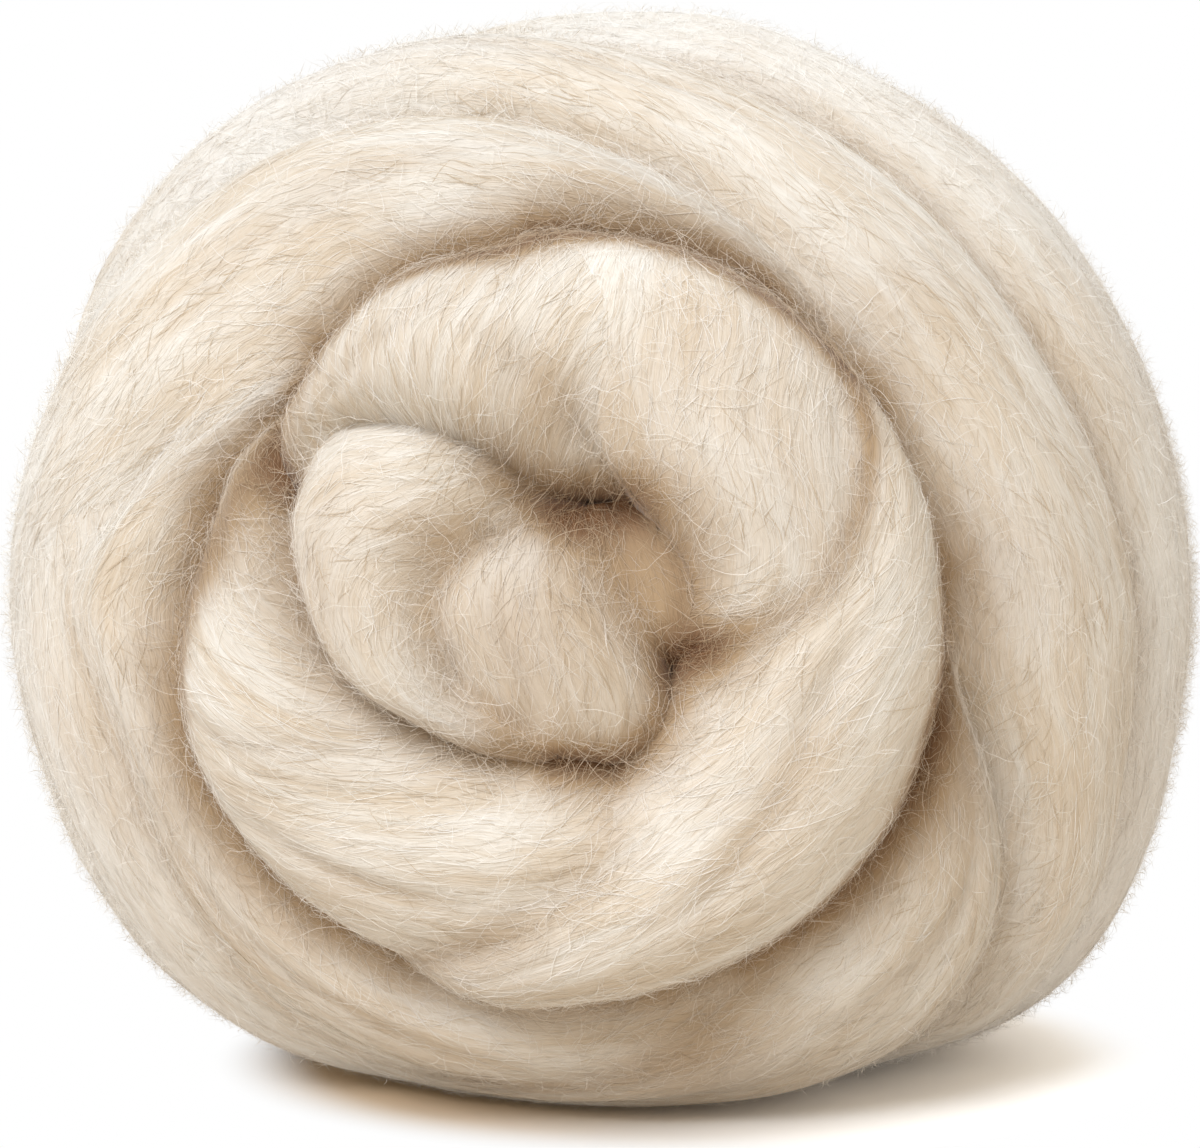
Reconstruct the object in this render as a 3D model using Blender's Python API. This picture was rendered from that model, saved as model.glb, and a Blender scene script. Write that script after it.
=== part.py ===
"""A ball of wool roving: one thick, soft strand wound on itself, standing on a flat spot.

Axes: +X right, -Y out of the face, +Z up. The origin is at the bottom, in the middle of the box.
"""

import math

import bmesh
import bpy
from mathutils import Vector

# The ball without its twists is an ellipsoid whose short axis comes out of the face.
RADIUS = 0.075
HALF_DEPTH = 0.062
FACE_TILT = math.radians(7.0)
CENTRE_HEIGHT = 0.0607

# The ball has settled where it rests: what would be below the floor is squashed flat.
SQUASH = 0.0080
FLAT_TRIM = 0.0024

# Every pass of the strand is a loft of rounded sections, and each one is as deep as its keel.
FACE_STEP = 0.0055
BAND_STEP = 0.0075
BACK_STEP = 0.0090
ARC_POINTS = 10
ROUNDNESS = 1.9
# How an edge of a pass meets its neighbour: how deep it dips and how far it runs past the crease.
HARD_EDGE = (0.0130, 0.0006)
SOFT_EDGE = (0.0090, 0.0012)
THIN_EDGE = (0.0035, 0.0022)
KEEL = 0.0080
KEEL_WIDTH = 0.97
CORE_INSET = 0.0145
# Under the ball the passes are pressed into one another, within this lean away from straight down.
PRESSED_INSET = 0.0002
PRESSED_LEAN = 17.0
LOOSE_LEAN = 28.0

MM = 0.001

# Passes of the coil in the middle of the face. A row is one section, from edge to edge, on a flat
# chart of the ball with the middle of the face at 0, 0, in degrees: (across, up) of the first edge,
# (across, up) of the second edge, and how far the crown stands out of the ball in mm.
UPPER_ARC = (
    (-29.5, 6.0, -23.5, 7.5, -8.0),
    (-29.0, 11.0, -24.5, 11.5, -4.0),
    (-29.0, 15.5, -23.0, 15.5, 1.0),
    (-27.5, 20.0, -20.5, 16.0, 3.0),
    (-24.5, 25.5, -16.5, 15.0, 5.0),
    (-19.0, 30.5, -11.5, 13.0, 6.0),
    (-12.0, 33.0, -7.0, 10.0, 6.0),
    (-4.5, 34.0, -3.5, 8.5, 5.0),
    (3.0, 33.0, -2.0, 8.5, 3.5),
    (7.5, 25.0, -0.5, 8.5, 1.0),
    (9.0, 17.0, 1.0, 8.5, -3.0),
    (8.0, 11.5, 2.5, 8.0, -8.0),
)
SWEEP = (
    (-4.5, 39.0, 17.5, 35.0, -7.0),
    (-4.5, 34.5, 17.5, 29.5, 3.0),
    (-3.5, 29.5, 20.5, 24.5, 5.0),
    (-2.0, 23.5, 24.0, 19.5, 6.0),
    (0.0, 16.5, 27.0, 13.5, 6.5),
    (3.0, 10.0, 29.5, 7.0, 7.0),
    (7.0, 4.5, 31.0, 0.0, 7.0),
    (9.0, -1.0, 31.5, -7.5, 7.0),
    (8.0, -5.5, 30.5, -13.5, 7.0),
    (5.0, -10.0, 28.0, -21.0, 7.0),
    (2.0, -14.0, 23.0, -27.5, 7.0),
    (-0.5, -18.5, 16.0, -33.0, 7.0),
    (-2.0, -23.5, 8.0, -36.0, 6.5),
    (-5.0, -27.5, 0.0, -37.0, 5.5),
    (-9.5, -30.5, -7.5, -37.0, 4.0),
    (-15.0, -33.0, -14.0, -35.5, 1.0),
    (-19.5, -33.5, -19.0, -34.5, -3.0),
)
SMALL_LOBE = (
    (-0.5, 6.0, 4.5, 7.0, -11.0),
    (-0.5, 3.0, 8.5, 5.0, -3.0),
    (1.0, -1.5, 10.5, 0.0, -1.0),
    (2.5, -5.0, 10.5, -5.0, -3.0),
    (4.5, -8.5, 9.0, -10.0, -10.0),
)
CORE_LOBE = (
    (-9.0, 7.0, 0.0, 6.0, -11.0),
    (-12.5, 5.0, 1.0, 4.0, -1.0),
    (-14.5, 1.5, 2.5, 1.0, 4.0),
    (-15.0, -2.0, 4.0, -3.5, 5.5),
    (-14.5, -6.0, 6.0, -7.5, 5.0),
    (-13.0, -10.0, 6.0, -12.0, 2.5),
    (-11.0, -12.5, 4.0, -14.5, -2.0),
    (-9.0, -14.5, 2.5, -15.5, -8.0),
)
LEFT_LOBE = (
    (-2.0, 6.5, -1.5, 8.0, -12.0),
    (-6.0, 7.0, -6.5, 10.0, -7.0),
    (-9.5, 6.5, -12.0, 13.5, -1.0),
    (-12.0, 4.5, -18.0, 16.0, 3.0),
    (-14.0, 2.0, -24.0, 15.5, 4.5),
    (-15.0, -0.5, -27.5, 9.0, 5.0),
    (-15.0, -3.0, -27.5, 2.0, 5.0),
    (-14.5, -5.5, -25.5, -4.0, 5.0),
    (-13.5, -8.0, -21.5, -8.5, 4.5),
    (-12.0, -10.5, -16.5, -11.5, 3.0),
    (-9.5, -13.0, -11.5, -14.0, -1.0),
    (-6.0, -14.5, -6.5, -15.0, -7.0),
)
LOWER_BAND = (
    (-29.0, 19.5, -31.5, 16.0, -7.0),
    (-29.0, 13.5, -35.5, 12.5, -3.0),
    (-28.5, 7.0, -38.0, 5.5, 0.0),
    (-27.0, 0.0, -40.5, -2.0, 2.5),
    (-24.0, -5.5, -40.0, -9.0, 4.0),
    (-19.5, -9.5, -38.5, -16.0, 5.0),
    (-15.0, -12.0, -34.0, -22.0, 5.5),
    (-10.5, -13.0, -28.5, -27.5, 6.0),
    (-5.5, -14.0, -21.5, -32.0, 6.0),
    (-1.0, -14.5, -13.0, -35.0, 5.5),
    (3.5, -16.0, -4.0, -33.0, 2.0),
    (7.0, -18.0, 3.5, -30.0, -5.0),
)

# Passes that wind round the ball. A row is one section, from its inner edge to its outer edge: the
# clock angle (0 is up, 90 is right), the lean of each edge away from the middle of the face, both in
# degrees, and how far the crown stands out of the ball in mm.
INNER_BAND = (
    (52, 31, 37, -8.0),
    (41, 31, 36, -5.0),
    (30, 31.5, 37, -2.0),
    (19, 32, 40, 0.0),
    (8, 33, 43.5, 1.0),
    (-3, 34, 47, 2.0),
    (-14, 34, 53, 2.0),
    (-25, 35, 59, 2.0),
    (-36, 36, 66, 2.0),
    (-48, 37, 74, 2.0),
    (-60, 40, 82, 1.0),
    (-70, 46, 88, 1.0),
    (-80, 54, 92, 1.0),
    (-90, 62, 95, 0.5),
    (-103, 68, 97, 0.0),
    (-118, 72, 99, 0.0),
    (-135, 74, 100, 0.0),
    (-155, 75, 102, 0.0),
    (-175, 76, 104, 0.0),
    (-195, 75, 102, -3.0),
)
OUTER_BAND = (
    (-165, 99, 122, -5.0),
    (-145, 97, 121, -1.0),
    (-125, 96, 120, 0.0),
    (-105, 95, 119, 0.0),
    (-90, 93, 118, 0.0),
    (-75, 89, 114, 0.0),
    (-60, 81, 108, 0.0),
    (-45, 71.5, 99, 0.5),
    (-32, 64, 90, 1.0),
    (-20, 56, 82, 1.0),
    (-7, 48, 71, 1.0),
    (0, 44, 66, 1.0),
    (12, 39, 61, 1.0),
    (25, 34, 58, 1.0),
    (38, 31, 55, 1.0),
    (50, 30.5, 53.5, 1.0),
    (63, 30, 53.5, 1.0),
    (76, 31, 56, 1.0),
    (90, 31.5, 60, 1.0),
    (100, 33, 63, 1.0),
    (110, 39, 66, 2.0),
    (120, 46, 69, 3.0),
    (130, 53, 72, 3.0),
    (140, 59, 75, 2.0),
    (150, 63, 78, -1.0),
    (160, 66, 80, -6.0),
)
CROSSING_BAND = (
    (86, 27, 36, -8.0),
    (96, 29, 35, -4.0),
    (104, 30, 38, -1.5),
    (112, 31, 42, 0.0),
    (121, 32, 48, 1.0),
    (129, 33, 55, 2.5),
    (137, 33.5, 61, 3.0),
    (145, 34, 66, 3.5),
    (155, 36, 69, 3.5),
    (163, 40, 71, 3.0),
    (170, 44, 73, 2.0),
    (178, 48, 75, 1.0),
    (188, 54, 78, -2.0),
    (198, 60, 80, -7.0),
)
LOWER_LEFT_BAND = (
    (-48, 34, 40, -8.0),
    (-59, 36, 43, -5.0),
    (-70, 37, 48, -2.0),
    (-81, 38, 57, 0.0),
    (-90, 39.5, 63, 0.5),
    (-97, 40, 60, 0.5),
    (-105, 40, 56, 0.5),
    (-114, 40, 55, 1.0),
    (-124, 39.5, 57, 1.0),
    (-135, 39, 59, 1.0),
    (-147, 38, 62, 1.0),
    (-160, 37, 64, 1.0),
    (-175, 36, 64, 1.0),
    (-188, 35.5, 62, 0.0),
    (-200, 35, 58, -3.0),
    (-212, 34, 54, -8.0),
)
FOLD_BAND = (
    (-66, 60, 78, -7.0),
    (-80, 56, 80, -2.5),
    (-95, 54, 82, -0.5),
    (-108, 52, 81, 0.0),
    (-120, 53, 80, 0.0),
    (-132, 55, 80, 0.0),
    (-145, 57, 80, 0.0),
    (-158, 59, 81, 0.0),
    (-172, 60, 83, 0.0),
    (-188, 62, 85, 0.0),
    (-203, 64, 87, 0.0),
    (-218, 66, 89, -4.0),
)
EDGE_BAND = (
    (-165, 119, 140, -6.0),
    (-145, 118, 141, -1.0),
    (-120, 117, 141, 0.0),
    (-90, 115, 139, 0.0),
    (-75, 111, 136, 0.0),
    (-60, 105, 130, 0.0),
    (-45, 97, 123, 0.0),
    (-30, 87, 114, 0.5),
    (-18, 79, 106, 0.5),
    (-7, 70, 98, 0.5),
    (3, 63, 92, 0.5),
    (12, 60, 88, 0.5),
    (25, 57, 85, 0.5),
    (40, 53.5, 81, 0.5),
    (52, 52.5, 80, 0.5),
    (65, 53, 80, 0.5),
    (78, 55.5, 83, 0.5),
    (90, 59.5, 86, 0.5),
    (102, 63, 90, 0.5),
    (115, 66, 93, 2.0),
    (130, 69, 96, 3.0),
    (145, 72, 99, 2.0),
    (160, 75, 101, 0.5),
    (175, 77, 103, 0.0),
    (190, 79, 105, -4.0),
)

# The back is a flat coil about its own hub, which is at this clock angle and lean. A row is one
# section: how far the coil has turned from its start, the lean of its outer and inner edges away
# from the hub, all in degrees, and how far the crown stands out of the ball in mm.
BACK_HUB = (60.0, 155.0)
BACK_START = 215.0
BACK_COIL = (
    (0, 96, 70, -4.0),
    (30, 91, 64, -0.5),
    (60, 84, 58, 0.5),
    (110, 81, 55, 1.0),
    (160, 79, 54, 1.0),
    (210, 80, 53, 1.0),
    (260, 80, 52, 1.0),
    (310, 77, 49, 1.0),
    (360, 72, 44, 1.5),
    (410, 64, 37, 2.0),
    (460, 58, 31, 2.0),
    (510, 56, 29, 2.0),
    (560, 55, 28, 2.0),
    (610, 54, 26, 2.0),
    (660, 51, 22, 2.5),
    (710, 47, 18, 3.0),
    (760, 41, 13, 3.5),
    (810, 34, 7, 3.5),
    (860, 31, 4, 3.0),
    (910, 29, 3.5, 3.0),
    (960, 27, 3.5, 3.0),
    (1010, 24, 3.5, 2.5),
    (1050, 20, 3.5, 2.0),
    (1090, 17, 3.5, 1.0),
    (1130, 13.5, 3.5, -1.0),
    (1160, 10, 3.5, -4.0),
    (1185, 8, 3.5, -9.0),
)


def face_axes():
    """Unit vectors to the right, up and out of the face."""
    right = Vector((1.0, 0.0, 0.0))
    up = Vector((0.0, math.sin(FACE_TILT), math.cos(FACE_TILT)))
    out = Vector((0.0, -math.cos(FACE_TILT), math.sin(FACE_TILT)))
    return right, up, out


def clock_direction(clock, lean, frame):
    """The unit vector that leans away from the last axis of a frame, towards a clock angle."""
    right, up, out = frame
    around = math.radians(clock)
    away = math.radians(lean)
    side = right * math.sin(around) + up * math.cos(around)
    return side * math.sin(away) + out * math.cos(away)


def chart_direction(across, up):
    """The unit vector of a place on the flat chart of the ball."""
    lean = math.hypot(across, up)
    clock = math.degrees(math.atan2(across, up))
    return clock_direction(clock, lean, face_axes())


def hub_axes(clock, lean):
    """The axes about a hub elsewhere on the ball, with clock angles as they are at the face."""
    right, up, out = face_axes()
    middle = clock_direction(clock, lean, (right, up, out))
    turned_up = (up - middle * up.dot(middle)).normalized()
    turned_right = (right - middle * right.dot(middle) - turned_up * right.dot(turned_up)).normalized()
    return turned_right, turned_up, middle


def on_ball(direction):
    """The place on the plain ball in a direction, relative to its centre."""
    right, up, out = face_axes()
    return (
        right * (RADIUS * direction.dot(right))
        + up * (RADIUS * direction.dot(up))
        + out * (HALF_DEPTH * direction.dot(out))
    )


def ball_normal(direction):
    """The outward normal of the plain ball in a direction."""
    right, up, out = face_axes()
    slope = (
        right * (direction.dot(right) / RADIUS)
        + up * (direction.dot(up) / RADIUS)
        + out * (direction.dot(out) / HALF_DEPTH)
    )
    return slope.normalized()


def chart_rows(table):
    """Rows of (first edge, second edge, rise) as directions, from a table on the flat chart."""
    return [(chart_direction(a, b), chart_direction(c, d), rise) for a, b, c, d, rise in table]


def clock_rows(table, frame):
    """Rows of (first edge, second edge, rise) as directions, from a table of clock angles."""
    rows = []
    for clock, inner, outer, rise in table:
        rows.append((clock_direction(clock, inner, frame), clock_direction(clock, outer, frame), rise))
    return rows


def coil_rows(table, start, frame):
    """Rows of (first edge, second edge, rise) as directions, from a table of how far a coil has turned."""
    rows = []
    for turned, outer, inner, rise in table:
        clock = start - turned
        rows.append((clock_direction(clock, inner, frame), clock_direction(clock, outer, frame), rise))
    return rows


def spline(before, start, end, after, share):
    """A Catmull-Rom curve between two of four values."""
    return 0.5 * (
        2.0 * start
        + (end - before) * share
        + (2.0 * before - 5.0 * start + 4.0 * end - after) * share**2
        + (3.0 * start - before - 3.0 * end + after) * share**3
    )


def row_at(rows, place):
    """The smooth row at a fractional place along a list of rows."""
    last = len(rows) - 1
    index = min(int(place), last - 1)
    share = place - index
    four = [rows[max(0, min(last, index + shift))] for shift in (-1, 0, 1, 2)]
    return [spline(*[row[column] for row in four], share) for column in range(3)]


def even_places(rows, step):
    """Fractional places along the rows that are about one step apart on the ball."""
    fine = 24
    places = [index / fine for index in range((len(rows) - 1) * fine + 1)]
    reached = [0.0]
    previous = None
    for place in places:
        first, second, _ = row_at(rows, place)
        ends = (on_ball(first.normalized()), on_ball(second.normalized()))
        if previous:
            moved = max((ends[0] - previous[0]).length, (ends[1] - previous[1]).length)
            reached.append(reached[-1] + moved)
        previous = ends
    count = max(4, int(round(reached[-1] / step)))
    chosen = []
    index = 0
    for number in range(count + 1):
        target = reached[-1] * number / count
        while index < len(reached) - 2 and reached[index + 1] < target:
            index += 1
        span = reached[index + 1] - reached[index]
        share = (target - reached[index]) / span if span else 0.0
        chosen.append((index + share) / fine)
    return chosen


def section(first, second, rise, first_edge, second_edge):
    """The points of one rounded section, from the first edge over the crown and back by the keel."""
    first_place = on_ball(first.normalized())
    second_place = on_ball(second.normalized())
    half_width = max(0.5 * (second_place - first_place).length, 0.002)
    crown = rise * MM
    points = []
    for index in range(ARC_POINTS):
        angle = math.pi * index / (ARC_POINTS - 1)
        across = -math.cos(angle)
        lift = max(math.sin(angle), 0.0) ** (2.0 / ROUNDNESS)
        dip, overlap = first_edge if across < 0.0 else second_edge
        height = min(-dip + (crown + dip) * lift, crown)
        points.append(lifted(first, second, across * (1.0 + overlap / half_width), height))
    for side, edge in ((1.0, second_edge), (-1.0, first_edge)):
        dip, overlap = edge
        across = side * KEEL_WIDTH * (1.0 + overlap / half_width)
        depth = max(HARD_EDGE[0], -crown) + KEEL
        points.append(lifted(first, second, across, -depth))
    return points


def lifted(first, second, across, height):
    """A point between or just beyond two edge directions, at a height off the plain ball."""
    share = 0.5 + 0.5 * across
    direction = (first + (second - first) * share).normalized()
    return on_ball(direction) + ball_normal(direction) * height


def loft(name, rows, step, first_edge, second_edge):
    """A closed mesh object through rounded sections."""
    rings = []
    for place in even_places(rows, step):
        first, second, rise = row_at(rows, place)
        rings.append(section(first, second, rise, first_edge, second_edge))
    mesh = bmesh.new()
    loops = [[mesh.verts.new(point) for point in ring] for ring in rings]
    count = len(loops[0])
    for near, far in zip(loops, loops[1:]):
        for index in range(count):
            after = (index + 1) % count
            mesh.faces.new((near[index], near[after], far[after], far[index]))
    mesh.faces.new(loops[0][::-1])
    mesh.faces.new(loops[-1])
    bmesh.ops.recalc_face_normals(mesh, faces=mesh.faces)
    return mesh_object(name, mesh)


def mesh_object(name, mesh):
    """A new object in the scene from a bmesh."""
    data = bpy.data.meshes.new(name)
    mesh.to_mesh(data)
    mesh.free()
    made = bpy.data.objects.new(name, data)
    bpy.context.scene.collection.objects.link(made)
    return made


def core():
    """The packed wool under the outermost passes, which is pressed out to them where the ball rests."""
    mesh = bmesh.new()
    bmesh.ops.create_icosphere(mesh, subdivisions=4, radius=1.0)
    for vertex in mesh.verts:
        direction = vertex.co.normalized()
        lean = math.degrees(math.acos(max(-1.0, min(1.0, -direction.z))))
        share = max(0.0, min(1.0, (lean - PRESSED_LEAN) / (LOOSE_LEAN - PRESSED_LEAN)))
        inset = PRESSED_INSET + (CORE_INSET - PRESSED_INSET) * share
        vertex.co = on_ball(direction) - ball_normal(direction) * inset
    return mesh_object("core", mesh)


def united(target, others):
    """Joins other closed bodies to the target, one after another."""
    for other in others:
        join = target.modifiers.new("join_" + other.name, "BOOLEAN")
        join.operation = "UNION"
        join.solver = "EXACT"
        join.use_self = True
        join.object = other
        graph = bpy.context.evaluated_depsgraph_get()
        joined = bpy.data.meshes.new_from_object(target.evaluated_get(graph))
        target.modifiers.clear()
        target.data = joined
        bpy.data.objects.remove(other)


def shells(mesh):
    """The separate closed shells of a bmesh, as lists of vertices, largest first."""
    left = set(mesh.verts)
    found = []
    while left:
        waiting = [left.pop()]
        shell = []
        while waiting:
            vertex = waiting.pop()
            shell.append(vertex)
            for edge in vertex.link_edges:
                other = edge.other_vert(vertex)
                if other in left:
                    left.remove(other)
                    waiting.append(other)
        found.append(shell)
    return sorted(found, key=len, reverse=True)


def squashed(height):
    """Height above the floor once the wool below it has been pressed flat."""
    return SQUASH * math.log1p(math.exp(height / SQUASH)) - FLAT_TRIM


def settle(target):
    """Fills the pockets shut in between passes, and stands the ball on its squashed, flat side."""
    mesh = bmesh.new()
    mesh.from_mesh(target.data)
    for pocket in shells(mesh)[1:]:
        bmesh.ops.delete(mesh, geom=pocket, context="VERTS")
    for vertex in mesh.verts:
        vertex.co.z = squashed(vertex.co.z + CENTRE_HEIGHT)
    everything = mesh.verts[:] + mesh.edges[:] + mesh.faces[:]
    cut = bmesh.ops.bisect_plane(
        mesh, geom=everything, dist=1e-6, plane_co=(0, 0, 0), plane_no=(0, 0, -1), clear_outer=True
    )
    rim = [item for item in cut["geom_cut"] if isinstance(item, bmesh.types.BMEdge)]
    bmesh.ops.contextual_create(mesh, geom=rim)
    mesh.to_mesh(target.data)
    mesh.free()


def centred(target):
    """Moves the ball so that the middle of its box is over the origin."""
    xs = [vertex.co.x for vertex in target.data.vertices]
    ys = [vertex.co.y for vertex in target.data.vertices]
    shift = Vector((-0.5 * (min(xs) + max(xs)), -0.5 * (min(ys) + max(ys)), 0.0))
    for vertex in target.data.vertices:
        vertex.co += shift


def wool():
    """Undyed, combed wool."""
    material = bpy.data.materials.new("wool")
    material.use_nodes = True
    shader = material.node_tree.nodes["Principled BSDF"]
    shader.inputs["Base Color"].default_value = (0.80, 0.70, 0.56, 1.0)
    shader.inputs["Roughness"].default_value = 0.9
    return material


def main():
    for leftover in list(bpy.data.objects):
        bpy.data.objects.remove(leftover)
    face = face_axes()
    back = hub_axes(*BACK_HUB)
    passes = (
        ("upper_arc", chart_rows(UPPER_ARC), FACE_STEP, HARD_EDGE, HARD_EDGE),
        ("sweep", chart_rows(SWEEP), FACE_STEP, THIN_EDGE, HARD_EDGE),
        ("small_lobe", chart_rows(SMALL_LOBE), FACE_STEP, SOFT_EDGE, HARD_EDGE),
        ("core_lobe", chart_rows(CORE_LOBE), FACE_STEP, SOFT_EDGE, SOFT_EDGE),
        ("left_lobe", chart_rows(LEFT_LOBE), FACE_STEP, SOFT_EDGE, HARD_EDGE),
        ("lower_band", chart_rows(LOWER_BAND), FACE_STEP, HARD_EDGE, HARD_EDGE),
        ("inner_band", clock_rows(INNER_BAND, face), BAND_STEP, HARD_EDGE, SOFT_EDGE),
        ("outer_band", clock_rows(OUTER_BAND, face), BAND_STEP, HARD_EDGE, SOFT_EDGE),
        ("crossing_band", clock_rows(CROSSING_BAND, face), BAND_STEP, HARD_EDGE, SOFT_EDGE),
        ("lower_left_band", clock_rows(LOWER_LEFT_BAND, face), BAND_STEP, HARD_EDGE, SOFT_EDGE),
        ("fold_band", clock_rows(FOLD_BAND, face), BAND_STEP, SOFT_EDGE, SOFT_EDGE),
        ("edge_band", clock_rows(EDGE_BAND, face), BAND_STEP, SOFT_EDGE, SOFT_EDGE),
        ("back_coil", coil_rows(BACK_COIL, BACK_START, back), BACK_STEP, SOFT_EDGE, SOFT_EDGE),
    )
    ball = core()
    united(ball, [loft(*details) for details in passes])
    settle(ball)
    centred(ball)
    ball.name = "roving_ball"
    ball.data.name = "roving_ball"
    ball.data.materials.clear()
    ball.data.materials.append(wool())


main()
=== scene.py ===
"""The look of a ball of wool roving: its passes with their locks, and the fibres that stand off them.

Axes: +X right, -Y out of the face, +Z up. Lengths are in metres, save where a name or comment says mm.
"""

import math

import bpy
import numpy as np
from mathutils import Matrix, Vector
from mathutils.bvhtree import BVHTree
from mathutils.kdtree import KDTree


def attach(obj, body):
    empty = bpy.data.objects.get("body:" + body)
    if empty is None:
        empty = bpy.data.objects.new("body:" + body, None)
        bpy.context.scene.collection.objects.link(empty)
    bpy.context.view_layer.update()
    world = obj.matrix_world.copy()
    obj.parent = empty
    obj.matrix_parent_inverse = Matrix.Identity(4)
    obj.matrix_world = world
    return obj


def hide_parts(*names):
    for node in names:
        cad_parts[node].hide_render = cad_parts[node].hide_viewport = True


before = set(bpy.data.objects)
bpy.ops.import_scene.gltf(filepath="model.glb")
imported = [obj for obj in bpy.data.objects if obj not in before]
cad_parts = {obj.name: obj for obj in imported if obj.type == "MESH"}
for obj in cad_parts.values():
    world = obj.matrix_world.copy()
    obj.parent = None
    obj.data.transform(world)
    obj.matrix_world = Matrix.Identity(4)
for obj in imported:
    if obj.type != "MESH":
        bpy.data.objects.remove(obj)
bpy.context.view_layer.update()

MM = 0.001

# The plain ball: an ellipsoid whose short axis comes out of the face.
RADIUS = 0.075
HALF_DEPTH = 0.062
FACE_TILT = math.radians(7.0)

# How the ball settles on the floor: the height of its middle, how softly the wool flattens, how much
# lower that then lets it stand, and the shift that puts its box over the origin.
CENTRE_HEIGHT = 0.0607
SQUASH = 0.0080
FLAT_TRIM = 0.0024
BOX_SHIFT = (-0.0006, 0.0017)

# The edge of a pass: how deep it dips, how far it runs past the crease, and how full its curve is,
# where 2 is a quarter circle and less is flatter.
HARD_EDGE = (0.0130, 0.0022, 1.9)
SLOPED_EDGE = (0.0150, 0.0012, 1.40)
SOFT_EDGE = (0.0090, 0.0018, 1.8)
THIN_EDGE = (0.0045, 0.0024, 1.9)

# Passes of the coil in the middle of the face. A row is one section, from edge to edge, on a flat
# chart of the ball with the middle of the face at 0, 0, in degrees: (across, up) of the first edge,
# (across, up) of the second edge, and how far the crown stands out of the ball in mm.
UPPER_ARC = (
    (-30.2, 5.5, -24.0, 7.5, -8.0),
    (-30.6, 10.6, -25.0, 11.5, -4.0),
    (-30.2, 15.3, -23.5, 15.5, 1.0),
    (-28.2, 20.0, -20.5, 16.0, 3.0),
    (-24.8, 25.3, -16.5, 15.4, 5.0),
    (-19.3, 30.6, -11.5, 14.2, 6.0),
    (-12.5, 33.0, -7.0, 12.2, 6.0),
    (-4.5, 33.9, -3.5, 11.0, 5.0),
    (3.0, 32.5, -1.5, 10.8, 3.5),
    (7.5, 25.0, 0.5, 10.5, 1.0),
    (9.0, 17.0, 2.0, 10.0, -3.0),
    (8.0, 11.5, 3.2, 9.0, -8.0),
)
UPPER_TURN = (
    (-5.5, 35.5, 15.5, 33.5, -9.0),
    (-6.5, 32.5, 16.8, 28.6, 1.5),
    (-6.5, 28.5, 20.8, 24.5, 4.5),
    (-4.5, 23.0, 25.0, 19.6, 6.0),
    (-1.0, 16.5, 26.2, 13.5, 6.5),
    (3.5, 10.0, 27.2, 7.0, 6.5),
    (8.0, 4.5, 26.2, 0.5, 5.5),
    (9.6, 0.0, 22.5, -5.0, 3.5),
    (8.8, -3.8, 16.5, -9.0, -0.5),
    (7.5, -6.5, 11.5, -11.0, -8.0),
)
SWEEP = (
    (20.3, 28.0, 22.2, 26.5, -8.0),
    (19.0, 24.0, 22.9, 21.4, -1.5),
    (18.8, 20.0, 25.0, 17.0, 3.5),
    (18.6, 15.0, 27.6, 11.6, 6.2),
    (17.8, 9.5, 29.8, 6.3, 7.4),
    (15.4, 4.0, 31.1, 0.0, 7.8),
    (11.0, -0.3, 31.9, -6.9, 7.8),
    (8.4, -5.5, 30.3, -13.4, 7.5),
    (6.4, -10.3, 27.6, -20.5, 7.2),
    (2.8, -14.4, 22.8, -27.3, 7.0),
    (-2.0, -18.6, 16.0, -32.4, 7.6),
    (-7.0, -22.2, 8.0, -36.0, 7.6),
    (-11.0, -25.8, 0.0, -37.8, 7.0),
    (-15.5, -29.0, -7.5, -38.6, 5.4),
    (-19.0, -32.0, -14.5, -36.8, 1.2),
    (-20.5, -34.0, -19.5, -35.8, -3.0),
)
SMALL_LOBE = (
    (-1.5, 9.0, 6.5, 10.0, -8.5),
    (-2.5, 5.5, 10.0, 7.0, -5.0),
    (-1.0, 0.5, 12.5, 1.5, -3.2),
    (1.0, -3.5, 12.0, -3.5, -3.5),
    (3.5, -7.0, 9.5, -7.5, -8.5),
    (4.5, -9.0, 7.5, -9.5, -14.0),
)
CORE_LOBE = (
    (-10.0, 9.8, -1.0, 9.5, -10.5),
    (-13.5, 6.6, 0.0, 6.2, -5.0),
    (-15.5, 2.5, 1.0, 2.5, 0.5),
    (-16.0, -1.5, 3.0, -2.5, 2.5),
    (-14.5, -6.0, 5.5, -7.5, 2.5),
    (-13.0, -10.0, 6.5, -12.2, 1.0),
    (-11.0, -12.8, 4.5, -15.2, -1.8),
    (-9.0, -15.3, 2.5, -16.8, -8.0),
)
LEFT_LOBE = (
    (-2.0, 8.0, -1.5, 10.0, -10.0),
    (-6.0, 7.6, -6.5, 11.5, -6.5),
    (-9.5, 6.5, -12.0, 14.0, -1.0),
    (-12.0, 4.5, -18.0, 16.0, 3.0),
    (-14.0, 2.0, -24.8, 15.5, 4.5),
    (-15.0, -0.5, -28.6, 9.0, 5.0),
    (-15.0, -3.0, -27.8, 2.0, 5.0),
    (-14.5, -5.5, -25.3, -4.0, 5.0),
    (-13.5, -8.0, -21.5, -8.2, 4.5),
    (-11.0, -10.0, -16.6, -11.0, 3.2),
    (-7.0, -11.8, -11.5, -13.6, 1.6),
    (-3.0, -13.0, -6.0, -15.4, -2.5),
)
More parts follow.
